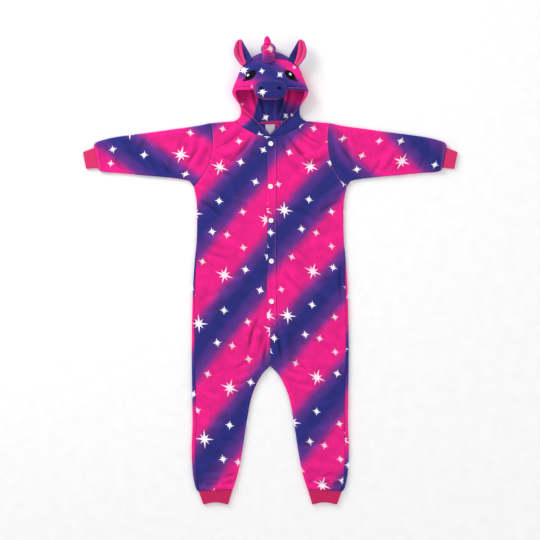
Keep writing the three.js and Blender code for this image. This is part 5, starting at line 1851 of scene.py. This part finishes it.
@dataclass
class Hood:
    """The hood: its face with the two front flaps, and its two back pieces.

    Attributes:
        finishes: The materials.
        shape: Its form.
        hem: The width of the stitched hem along the rim.
    """

    finishes: Finishes
    shape: HoodShape = field(default_factory=HoodShape)
    hem: float = 9.5

    def plan_print(self, points: np.ndarray, band: Plan) -> tuple[np.ndarray, np.ndarray]:
        """Where the stars lie on a grid of points, and the phase of its bands."""
        return points[..., :2] / HOOD_UNIT, band(points[..., 0], points[..., 1])

    def face_half(self, side: Side) -> tuple[list[np.ndarray], list[np.ndarray]]:
        """The outer and inner rows of one half of the hood's face, from edge to rim."""
        outer_rows, inner_rows = [], []
        for row in range(len(self.shape.place)):
            edge, rim = self.shape.edge[row], self.shape.rim[row]
            reach = float(np.hypot(*(rim[:2] - edge[:2])))
            seam = self.shape.seam[row] + (SEAM_GAP / 2 / reach if self.shape.seam[row] > 0 else 0.0)
            shares = lerp(seam, 1.0, self.shares())
            line = self.shape.top(row, shares, 0.0)
            span = np.linalg.norm(np.diff(line, axis=0), axis=1)
            from_rim = np.concatenate([np.cumsum(span[::-1])[::-1], [0.0]])
            hem = 1.1 * smoothstep(self.hem + 1.5, self.hem - 1.0, from_rim) - 1.5 * bell(from_rim - self.hem - 1.0, 1.5)
            x = side.value * line[:, 0]
            lift = sum(fold.lift(x, line[:, 1]) for fold in FACE_FOLDS) + 0.6 * rumple(x * 1.6, line[:, 1] * 1.6)
            settle = smoothstep(0.0, 8.0, np.concatenate([[0.0], np.cumsum(span)]))
            raised = (lift + hem) * settle * smoothstep(0.0, 1.5, self.shape.place[row])
            for rows, depth in ((outer_rows, -raised), (inner_rows, FLEECE - np.minimum(raised, 1.5))):
                points = self.shape.top(row, shares, depth)
                if self.shape.seam[row] <= 0:
                    points[0, 2] += SEAM_GAP / 2
                points[:, 0] = side.value * np.maximum(0.0 if row == len(self.shape.place) - 1 else 0.15, points[:, 0])
                rows.append(points)
        return outer_rows, inner_rows

    def hem_line(self) -> np.ndarray:
        """The line that the rim's hem is stitched along, from the left flap round to the right one."""
        halves = []
        for side in Side:
            outer = self.face_half(side)[0]
            line = []
            for row in outer[8:]:
                way = np.cumsum(np.linalg.norm(np.diff(row[::-1], axis=0), axis=1))
                wanted = self.hem - 1.6
                line.append([np.interp(wanted, np.concatenate([[0.0], way]), axis) for axis in row[::-1].T])
            halves.append(np.array(line) + np.array([0.0, 0.0, 0.15]))
        return np.concatenate([halves[0], halves[1][::-1]])

    @staticmethod
    def shares() -> np.ndarray:
        """Where the columns of the hood's face lie, from its edge (0) to its rim (1)."""
        fine = np.array([0.0, 0.008, 0.02, 0.036, 0.056, 0.08])
        return np.concatenate([fine, np.linspace(0.105, 0.9, 34), 1 - fine[::-1]])

    def build(self) -> None:
        """Makes the hood's face and its two backs."""
        left, right = self.face_half(Side.LEFT), self.face_half(Side.RIGHT)
        outer, inner = (np.array([*left[layer], *right[layer][:-1][::-1]]) for layer in (0, 1))
        cell, band = self.plan_print(outer, hood_face_band)
        skin = Skin(outer, inner, cell, band)
        skin.round_edges(3.6, 1.3)
        made = make_cloth("hood_face_panel", skin, self.finishes.hood, Slot.PRINT, "hood_face")
        flat, area = skin.cut_size()
        for side in Side:
            self.build_back(side)

    def build_back(self, side: Side) -> None:
        """Makes one back piece of the hood, from the centre seam round to the crown seam."""
        outer_rows, inner_rows = [], []
        for row in range(len(self.shape.place)):
            shares = np.linspace(0, 1, 120)
            flat = self.shape.under(row, shares, 0.0)
            x, y = side.value * flat[:, 0], flat[:, 1]
            lift = np.clip(sum(fold.lift(x, y) for fold in INSIDE_FOLDS), -1.4, 12.0)
            open_part = smoothstep(448.0, 468.0, y) * smoothstep(1.0, 0.8, shares) * smoothstep(575.0, 545.0, y)
            under = [self.shape.under(row, shares, depth) for depth in (0.0, FLEECE + lift * open_part)]
            if self.shape.seam[row] > 0:
                reach = float(np.hypot(*(self.shape.rim[row, :2] - self.shape.edge[row, :2])))
                last = max(0.0, float(self.shape.seam[row]) - SEAM_GAP / 2 / reach)
                over_shares = np.linspace(0, last, 24)[1:]
                over = [self.shape.top(row, over_shares, depth) for depth in (0.0, FLEECE)]
                lines = [np.vstack(pair) for pair in zip(under, over)]
            else:
                lines = under
                for line in lines:
                    line[-1, 2] -= SEAM_GAP / 2
            steps = np.concatenate([[0.0], np.cumsum(np.linalg.norm(np.diff(lines[0], axis=0), axis=1))])
            wanted = near_edges(0.0, float(steps[-1]), 46)
            for rows, line in zip((outer_rows, inner_rows), lines):
                points = np.stack([np.interp(wanted, steps, axis) for axis in line.T], axis=1)
                points[:, 0] = side.value * np.maximum(SEAM_GAP / 2, points[:, 0])
                rows.append(points)
        outer, inner = np.array(outer_rows), np.array(inner_rows)
        cell, band = self.plan_print(outer, hood_inside_band)
        skin = Skin(outer, inner, cell, band, reach=4.0)
        skin.round_edges(3.6, 1.2)
        name = f"hood_back_{side.word}"
        made = make_cloth(f"{name}_panel", skin, self.finishes.hood, Slot.PRINT, name)
        flat, area = skin.cut_size()


# ------------------------------------------------------------------------------------- what the hood is dressed with
def oval(x: float, y: float, long: float, wide: float, tilt: float, count: int) -> np.ndarray:
    """The outline of an oval in plan.

    Args:
        x: Its centre.
        y: Its centre.
        long: Half its length.
        wide: Half its width.
        tilt: How its length is turned, in degrees.
        count: How many points it has.

    Returns:
        The points, one a row.
    """
    angles = np.linspace(0, 2 * math.pi, count, endpoint=False)
    turn = math.radians(tilt)
    a, b = long * np.cos(angles), wide * np.sin(angles)
    return np.stack([x + a * math.cos(turn) - b * math.sin(turn), y + a * math.sin(turn) + b * math.cos(turn)], axis=1)


def pad_rings(
    outline: np.ndarray, bottom: Plan, height: float, fullness: float, levels: int, base: float = 0.28
) -> tuple[np.ndarray, np.ndarray, np.ndarray]:
    """A soft pad over an outline: flat below, and bulging up from the outline.

    Args:
        outline: The outline in plan.
        bottom: The surface that it lies on.
        height: How high its middle stands.
        fullness: How square its section is; near 0 it is boxy.
        levels: How many rings its top has.
        base: The share of the height at which the outline itself stands.

    Returns:
        Its lowest point, its rings, and its highest point.
    """
    centre = outline.mean(axis=0)

    def ring(part: float, lift: float) -> np.ndarray:
        """The outline drawn in by a share and lifted."""
        plan = centre + (outline - centre) * part
        return np.column_stack([plan, bottom(plan[:, 0], plan[:, 1]) + lift])

    rings = [ring(part, 0.0) for part in (0.3, 0.6, 0.85, 0.94)]
    rings += [ring(0.975, height * base * 0.25), ring(0.995, height * base * 0.6)]
    for level in np.linspace(0, 1, levels, endpoint=False):
        part = math.cos(level * QUARTER) ** fullness
        rings.append(ring(part, height * (base + (1 - base) * math.sin(level * QUARTER))))
    floor = float(bottom(centre[:1], centre[1:])[0])
    return np.array([*centre, floor]), np.array(rings), np.array([*centre, floor + height])


@dataclass
class FaceDressing:
    """The muzzle, nostrils, eyes, glints and lashes.

    Attributes:
        finishes: The materials.
        muzzle_centre: The muzzle's middle in plan.
        muzzle_half: Half its width, and how far it reaches up and down.
        muzzle_height: How far it stands off the face.
        eye: The eye's x, y, half length, half width and tilt.
        glints: Where the glints lie.
    """

    finishes: Finishes
    muzzle_centre: tuple[float, float] = (1.0, 543.0)
    muzzle_half: tuple[float, float, float] = (49.0, 29.0, 31.0)
    muzzle_height: float = 19.0
    eye: tuple[float, float, float, float, float] = (59.0, 586.0, 19.0, 10.5, 42.0)
    glints: dict[Side, tuple[float, float]] = field(
        default_factory=lambda: {Side.RIGHT: (-66.5, 585.5), Side.LEFT: (60.0, 588.5)}
    )

    def muzzle_outline(self, count: int) -> np.ndarray:
        """The muzzle's rounded outline in plan."""
        angles = np.linspace(0, 2 * math.pi, count, endpoint=False)
        wide, up, down = self.muzzle_half
        sine, cosine = np.sin(angles), np.cos(angles)
        reach = np.where(sine > 0, up, down)
        narrow = 1 - np.where(sine > 0, 0.16, 0.1) * sine**2
        square = [np.sign(value) * np.abs(value) ** 0.72 for value in (cosine, sine)]
        x = self.muzzle_centre[0] + wide * square[0] * narrow
        return np.column_stack([x, self.muzzle_centre[1] + reach * square[1]])

    def muzzle_top(self, x: np.ndarray, y: np.ndarray) -> np.ndarray:
        """The height of the muzzle's top in plan."""
        aside = (x - self.muzzle_centre[0]) / self.muzzle_half[0]
        along = (y - self.muzzle_centre[1]) / self.muzzle_half[1]
        bulge = np.sqrt(np.maximum(0, 1 - (aside**2 + along**2) ** 1.4))
        return HoodShape.forehead(x, y) + 0.4 + self.muzzle_height * (0.28 + 0.72 * bulge)

    @staticmethod
    def band(x: np.ndarray, y: np.ndarray) -> np.ndarray:
        """The phase of the bands on the muzzle, in plan."""
        return 0.25 * np.minimum(1.2, ((x - 8) / 50) ** 2) + 0.3 * smoothstep(521.0, 512.0, y) - 0.02

    def build(self) -> None:
        """Makes the face's pieces."""
        place = PrintPlace((0, 0), (HOOD_UNIT, 0), (0, HOOD_UNIT))
        start, rings, end = pad_rings(
            self.muzzle_outline(120), lambda x, y: HoodShape.forehead(x, y) + 0.4, self.muzzle_height, 0.8, 34
        )
        dents = 0.9 * bell(rings[..., 1] - 558.0, 2.2) * smoothstep(60.0, 66.0, rings[..., 2])
        rings[..., 2] -= dents
        # Painted shade in the dent across the muzzle and on its low sides.
        shade = 0.3 * bell(rings[..., 1] - 558.0, 2.0) + 0.35 * smoothstep(54.0, 47.0, rings[..., 2])
        made = make_rounded("muzzle_pad", start, rings, end, self.finishes.hood, place, self.band, shade)
        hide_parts("muzzle")
        for side in Side:
            self.build_side(side)

    def patch(
        self, name: str, outline: np.ndarray, bottom: Plan, thick: float, finish: bpy.types.Material
    ) -> bpy.types.Object:
        """Makes a small embroidered patch that lies on a surface."""
        start, rings, end = pad_rings(outline, bottom, thick, 0.35, 8, 0.35)
        return make_rounded(name, start, rings, end, finish)

    def build_side(self, side: Side) -> None:
        """Makes the eye, glint, lash and nostril of one side."""
        x, y, long, wide, tilt = self.eye
        turn = -side.value * tilt

        def on_face(lift: float) -> Plan:
            """The face's surface, moved out."""
            return lambda px, py: HoodShape.forehead(px, py) + lift

        word = side.word
        eye = self.patch(
            f"eye_{word}_patch", oval(side.value * x, y, long, wide, turn, 72), on_face(0.9), 1.5, self.finishes.black
        )
        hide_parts(f"eye_{word}")
        gx, gy = self.glints[side]
        glint = self.patch(
            f"eye_glint_{word}_patch", oval(gx, gy, 4.6, 3.0, turn, 40), on_face(2.2), 0.8, self.finishes.white
        )
        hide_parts(f"eye_glint_{word}")
        low_x, low_y = side.value * (x + 15.0), y - 14.0
        lash = self.patch(
            f"lash_{word}_patch", oval(low_x, low_y, 8.5, 3.6, turn + side.value * 20, 40), on_face(0.8), 1.0,
            self.finishes.lash,
        )
        nostril = self.patch(
            f"nostril_{word}_patch",
            oval(side.value * 27.5, 546.0, 5.5, 4.5, 0.0, 40),
            lambda px, py: self.muzzle_top(px, py) + 0.55,
            0.8,
            self.finishes.black,
        )
        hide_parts(f"nostril_{word}")


@dataclass(frozen=True)
class EarRow:
    """One row across an ear: its two ends in plan, its height, and how deep it is cupped."""

    inner: tuple[float, float]
    outer: tuple[float, float]
    z: float
    cup: float


@dataclass
class Ears:
    """The two ears: cups of printed fleece with a pink lining that is folded down its middle.

    Attributes:
        finishes: The materials.
        rows: The rows from the root to the tip.
        wall: The thickness of the printed cup.
        lining: The thickness of the lining.
        crease: How deep the lining's middle fold is.
    """

    finishes: Finishes
    rows: tuple[EarRow, ...] = (
        EarRow((54, 634), (84, 612.5), 39, 3),
        EarRow((60, 648), (97, 628), 39, 7),
        EarRow((67, 661), (106, 643), 38, 9),
        EarRow((74, 673), (109, 660), 37, 8),
        EarRow((80, 684), (106, 676), 36, 5),
        EarRow((83.5, 690.2), (102, 685.8), 35, 2.5),
        EarRow((88.5, 694), (96, 692.2), 34, 0.8),
    )
    wall: float = 2.5
    lining: float = 2.0
    crease: float = 3.2

    @staticmethod
    def shares() -> np.ndarray:
        """Where the columns of an ear's grid lie across it."""
        return np.concatenate([[0, 0.012, 0.03, 0.055], np.linspace(0.09, 0.91, 30), [0.945, 0.97, 0.988, 1]])

    @staticmethod
    def lining_start(along: np.ndarray | float) -> np.ndarray | float:
        """Where the lining begins across the ear, at each share of the way up it."""
        return np.interp(along, (0.0, 0.3, 0.6, 0.9, 1.0), (0.58, 0.38, 0.22, 0.1, 0.06))

    def grid(
        self, side: Side, low: Callable | float, high: float, lift: float, extra: Plan | None = None
    ) -> np.ndarray:
        """A grid of points over an ear.

        Args:
            side: The wearer's side.
            low: Where it begins across the ear, for all of it or by the share of the way up.
            high: Where it ends across the ear.
            lift: How far it lies above the cup.
            extra: What is added to its height at each share along and across.

        Returns:
            Rows of points from the root to the tip.
        """
        count = 64
        ends = [by_share([getattr(row, end)[axis] for row in self.rows], count) for end in ("inner", "outer") for axis in (0, 1)]
        z, cup = (by_share([getattr(row, name) for row in self.rows], count) for name in ("z", "cup"))
        across, along = np.meshgrid(self.shares(), np.linspace(0, 1, count))
        within = across
        across = lerp(low(along) if callable(low) else low, high, within)
        x = lerp(ends[0][:, None], ends[2][:, None], across)
        y = lerp(ends[1][:, None], ends[3][:, None], across)
        height = z[:, None] - cup[:, None] * np.sin(math.pi * across) + lift
        if extra is not None:
            height = height + extra(along, within)
        return np.stack([side.value * x, y, height], axis=2)

    def build(self) -> None:
        """Makes both ears."""
        for side in Side:
            shell = Skin(self.grid(side, 0, 1, 0.0), self.grid(side, 0, 1, -self.wall), np.zeros(0), np.zeros(0))
            shell.cell = shell.outer[..., :2] / HOOD_UNIT
            shell.band = 0.06 + 0.16 * smoothstep(640.0, 690.0, shell.outer[..., 1])
            shell.round_edges(3.0, 1.1, "blr")
            name = f"ear_{side.word}"
            made = make_cloth(f"{name}_cup", shell, self.finishes.hood, Slot.PRINT, name)
            flat, area = shell.cut_size()

            def middle(along: np.ndarray) -> np.ndarray:
                """Where the fold lies across the lining."""
                return 0.46 + 0.1 * along

            def folded(along: np.ndarray, across: np.ndarray) -> np.ndarray:
                """The middle fold and the full edges of the lining."""
                depth = self.crease * np.sin(math.pi * np.clip(along * 0.9 + 0.05, 0, 1)) ** 0.6
                full = 2.8 * (bell(across - 0.2, 0.15) + bell(across - 0.8, 0.16)) * np.sin(math.pi * (0.1 + 0.8 * along))
                return full - np.minimum(depth, self.lining - 0.6 + full) * bell(across - middle(along), 0.07)

            top = self.grid(side, self.lining_start, 0.97, 0.6 + self.lining, folded)
            lining = Skin(top, self.grid(side, self.lining_start, 0.97, 0.6), np.zeros(0), np.zeros(0))
            lining.cell = top[..., :2] / HOOD_UNIT
            # The lining's band map holds the painted shade along its middle fold.
            along, across = np.meshgrid(np.linspace(0, 1, top.shape[0]), self.shares(), indexing="ij")
            ends = smoothstep(0.93, 0.72, along) * smoothstep(0.0, 0.12, along)
            lining.band = 0.95 * bell(across - middle(along), 0.085) * ends
            lining.round_edges(3.2, 1.4, "tblr")
            name = f"ear_lining_{side.word}"
            made = make_cloth(f"{name}_pad", lining, self.finishes.lining, Slot.LINING, name)
            flat, area = lining.cut_size()


@dataclass
class HornAndMane:
    """The stuffed horn, with its two sewn rings, and the tuft of mane behind it.

    Attributes:
        finishes: The materials.
        base: The foot of the horn's middle line.
        bend: The point that its middle line bends towards.
        tip: The horn's tip.
        outline: The share of the way up, and the radius there.
        rings: Where the thread is wound round it.
    """

    finishes: Finishes
    base: tuple[float, float, float] = (-5.0, 637.0, 38.8)
    bend: tuple[float, float, float] = (-6.0, 648.0, 59.0)
    tip: tuple[float, float, float] = (-10.0, 699.0, 84.0)
    outline: tuple[tuple[float, float], ...] = (
        (0.05, 19.0),
        (0.16, 18.6),
        (0.24, 18.0),
        (0.33, 17.2),
        (0.48, 15.6),
        (0.64, 14.0),
        (0.8, 11.6),
        (0.9, 9.0),
        (0.96, 6.2),
        (0.985, 4.0),
    )
    rings: tuple[float, ...] = (0.47, 0.79)
    mane_centre: tuple[float, float] = (-5.5, 664.0)
    mane_half: tuple[float, float, float] = (23.0, 15.0, 21.0)
    mane_z: tuple[float, float] = (15.0, 40.0)

    def spine(self, along: float) -> tuple[np.ndarray, np.ndarray]:
        """A point of the horn's middle line and the way that it runs there."""
        a, b, c = (np.array(point) for point in (self.base, self.bend, self.tip))
        point = a * (1 - along) ** 2 + 2 * b * along * (1 - along) + c * along**2
        way = 2 * (b - a) * (1 - along) + 2 * (c - b) * along
        return point, way / np.linalg.norm(way)

    def build(self) -> None:
        """Makes the horn and the mane."""
        angles = np.linspace(0, 2 * math.pi, 72, endpoint=False)
        table = np.array(self.outline)
        profile = SeamLine([(share * 100, radius) for share, radius in table])
        rings, shades = [], []
        for along in np.linspace(table[0, 0], table[-1, 0], 64):
            centre, way = self.spine(float(along))
            aside = np.array([1.0, 0.0, 0.0]) - way * way[0]
            aside /= np.linalg.norm(aside)
            upward = np.cross(aside, way)
            radius = float(np.interp(along * 100, profile.points[:, 0], profile.points[:, 1]))
            wound = along + 0.025 * np.cos(angles)
            grooves = sum(bell(wound - ring, 0.028) for ring in self.rings)
            # Painted shade in the wound grooves, with a faint painted highlight just past each one.
            shades.append(0.5 * grooves - 0.12 * sum(bell(wound - ring - 0.06, 0.03) for ring in self.rings))
            size = radius * (1 - 0.17 * grooves) * (1 + 0.015 * np.sin(5 * angles + 9 * along))
            rings.append(centre + np.outer(size * np.cos(angles), aside) + np.outer(size * np.sin(angles), upward))
        start, end = self.spine(float(table[0, 0]))[0], np.array(self.tip)
        place = PrintPlace((0, 0), (HOOD_UNIT, 0), (0, HOOD_UNIT))
        horn = make_rounded(
            "horn_cone", start, np.array(rings), end, self.finishes.hood, place,
            lambda x, y: 0.5 - 0.24 * smoothstep(655.0, 641.0, y), np.array(shades),
        )
        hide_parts("horn")
        wide, back, front = self.mane_half
        turn = np.linspace(0, 2 * math.pi, 96, endpoint=False)
        reach = np.where(np.sin(turn) > 0, front, back)
        outline = np.column_stack([self.mane_centre[0] + wide * np.cos(turn), self.mane_centre[1] + reach * np.sin(turn)])
        low, high = self.mane_z
        start, rings, end = pad_rings(outline, lambda x, y: np.full_like(x, low), high - low, 0.6, 26)
        locks = 0.8 * np.sin(rings[..., 0] / 2.1 + np.sin(rings[..., 1] / 5.0)) * smoothstep(low, low + 8, rings[..., 2])
        rings[..., 2] += locks * smoothstep(high, high - 3, rings[..., 2]) + locks * 0.3
        mane = make_rounded("mane_tuft", start, rings, end, self.finishes.mane)
        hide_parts("mane")


@dataclass
class NeckInside:
    """The tape over the neck seam and the blank label below it.

    Attributes:
        finishes: The materials.
        floor: The height that both lie at.
    """

    finishes: Finishes
    floor: float = FLEECE + SEAM_GAP
    tape: tuple[float, float, float, float] = (-30.0, 30.0, 443.0, 449.0)
    label: tuple[float, float, float, float] = (-14.5, 14.0, 408.0, 441.0)

    def strip(
        self, name: str, edges: tuple[float, float, float, float], thick: float, node: str, finish: bpy.types.Material,
        slot: Slot, bulge: float,
    ) -> bpy.types.Object:
        """Makes a thin strip of woven tape.

        Args:
            name: The piece's name.
            edges: Its lowest and highest x, then y.
            thick: How thick it is.
            node: The solid that it stands for.
            finish: Its material.
            slot: The record's material slot.
            bulge: How far its middle lifts off what it lies on.

        Returns:
            The new object.
        """
        x, y = np.meshgrid(near_edges(edges[0], edges[1], 22), np.linspace(edges[2], edges[3], 26))
        part_x, part_y = (x - edges[0]) / (edges[1] - edges[0]), (y - edges[2]) / (edges[3] - edges[2])
        curl = bulge * np.sin(math.pi * part_x) * (1 - part_y) + 0.25 * bulge * np.sin(5 * part_x + 3 * part_y)
        floor = self.floor + np.maximum(curl, 0)
        grid = [np.stack([x, y, floor + level], axis=2) for level in (thick, 0.0)]
        skin = Skin(grid[0], grid[1], np.stack([x, y], axis=2) / HOOD_UNIT, np.zeros(x.shape))
        skin.round_edges(1.4, thick * 0.35)
        made = make_cloth(name, skin, finish, slot, node)
        flat, area = skin.cut_size()
        min(flat) > 0.01
        return made

    def build(self) -> None:
        """Makes the tape and the label."""
        self.strip("neck_tape_strip", self.tape, 1.0, "neck_tape", self.finishes.tape, Slot.RIB, 0.0)
        self.strip("label_strip", self.label, 0.8, "label", self.finishes.label, Slot.LABEL, 1.2)


@dataclass
class Stitches:
    """Rows of stitches that show on the seams.

    Attributes:
        finishes: The materials.
        length: The length of one stitch.
        gap: The distance from one stitch to the next.
        radius: The thread's radius.
    """

    finishes: Finishes
    length: float = 3.2
    gap: float = 1.5
    radius: float = 0.45

    def run(self, name: str, path: np.ndarray) -> bpy.types.Object:
        """Makes one row of stitches.

        Args:
            name: The piece's name.
            path: The points of the row, on the cloth.

        Returns:
            The new object.
        """
        steps = np.concatenate([[0.0], np.cumsum(np.linalg.norm(np.diff(path, axis=0), axis=1))])
        sunk = np.array([-0.25, 0.15, 0.3, 0.15, -0.25])
        lines = []
        for start in np.arange(1.0, steps[-1] - self.length, self.length + self.gap):
            wanted = np.linspace(start, start + self.length, len(sunk))
            line = np.stack([np.interp(wanted, steps, axis) for axis in path.T], axis=1)
            line[:, 2] += sunk
            lines.append(line)
        made = make_threads(name, lines, self.radius, self.finishes.thread)
        return made

    def build(self, band: ButtonBand, hood: Hood, sleeves: Sleeves) -> None:
        """Makes the stitches of the placket, the hood's hem, the armholes and the wrists.

        Args:
            band: The placket.
            hood: The hood.
            sleeves: The sleeves.
        """
        y = np.linspace(band.bottom + 3, band.top - 3, 240)
        x = np.full_like(y, band.sewn)
        z = FRONT_TOP + SEAM_GAP + np.maximum(front_lift(x, y), -0.1) + band.placket_height(x, y)
        self.run("stitches_placket", np.column_stack([x, y, z]))
        self.run("stitches_hood_hem", hood.hem_line())
        for side in Side:
            line = np.array([ARMHOLE.at(part) for part in np.linspace(0.04, 0.975, 120)])
            x, y = side.value * (line[:, 0] - 2.4), line[:, 1]
            z = FRONT_TOP + front_lift(x, y) - 0.1
            self.run(f"stitches_armhole_{side.word}", np.column_stack([x, y, z]))
            self.run(f"stitches_wrist_{side.word}", sleeves.hem_line(side))


# ------------------------------------------------------------------------------------------------------ the studio
@dataclass
class Studio:
    """A pale floor, soft light and the camera straight above.

    Attributes:
        view: The width that the picture covers at the garment, in metres.
        centre: The middle of the picture in plan, in metres.
        height: How high the camera is.
        sensor: The camera's sensor width in millimetres.
    """

    view: float = 1.62
    centre: tuple[float, float] = (-0.00075, 0.0045)
    height: float = 8.0
    sensor: float = 36.0

    def build(self) -> None:
        """Makes the floor, the lights and the camera."""
        world = bpy.data.worlds.new("studio")
        world.use_nodes = True
        world.node_tree.nodes["Background"].inputs[0].default_value = (1.0, 1.0, 1.0, 1.0)
        world.node_tree.nodes["Background"].inputs[1].default_value = 0.72
        bpy.context.scene.world = world
        bpy.context.scene.view_settings.view_transform = "Standard"
        self.floor()
        self.light("key", (-1.9, 2.3, 1.7), 1.6, 66.0)
        self.light("fill", (2.1, -0.8, 2.6), 2.6, 14.0)
        camera = bpy.data.cameras.new("camera")
        camera.sensor_width = self.sensor
        camera.lens = self.sensor * self.height / self.view
        made = bpy.data.objects.new("camera", camera)
        made.location = (*self.centre, self.height)
        bpy.context.scene.collection.objects.link(made)
        bpy.context.scene.camera = made

    def floor(self) -> None:
        """Makes a floor that lies just under the garment."""
        half, low, steps = 6.0, -0.0006, 12
        line = np.linspace(-half, half, steps + 1)
        x, y = np.meshgrid(line, line)
        points = np.stack([x, y, np.full_like(x, low)], axis=2).reshape(-1, 3)
        faces = []
        for row in range(steps):
            for column in range(steps):
                first = row * (steps + 1) + column
                faces.append((first, first + 1, first + steps + 2, first + steps + 1))
        mesh = bpy.data.meshes.new("floor")
        mesh.from_pydata(points.tolist(), [], faces)
        mesh.materials.append(Paper().build())
        made = bpy.data.objects.new("floor", mesh)
        bpy.context.scene.collection.objects.link(made)

    def light(self, name: str, place: tuple[float, float, float], size: float, power: float) -> None:
        """Makes one square lamp that shines at the middle of the garment.

        Args:
            name: The lamp's name.
            place: Where it stands, in metres.
            size: The length of its side.
            power: Its power in watts.
        """
        lamp = bpy.data.lights.new(name, "AREA")
        lamp.size = size
        lamp.energy = power
        made = bpy.data.objects.new(name, lamp)
        made.location = place
        away = np.array(place) / np.linalg.norm(place)
        made.rotation_euler = (math.acos(away[2]), 0.0, math.atan2(away[1], away[0]) + QUARTER)
        bpy.context.scene.collection.objects.link(made)


def main() -> None:
    """Builds the garment round the frame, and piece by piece."""
    logging.basicConfig(level=logging.INFO, format="%(name)s: %(message)s")
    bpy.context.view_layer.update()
    finishes = Finishes()
    Studio().build()
    body = BodyPanels(finishes)
    body.build()
    sleeves = Sleeves(finishes)
    sleeves.build()
    Cuffs(finishes).build()
    band = ButtonBand(finishes, body.places[Side.LEFT])
    band.build()
    hood = Hood(finishes)
    hood.build()
    FaceDressing(finishes).build()
    Ears(finishes).build()
    HornAndMane(finishes).build()
    NeckInside(finishes).build()
    Stitches(finishes).build(band, hood, sleeves)
    bpy.context.view_layer.update()


if __name__ == "__main__":
    main()
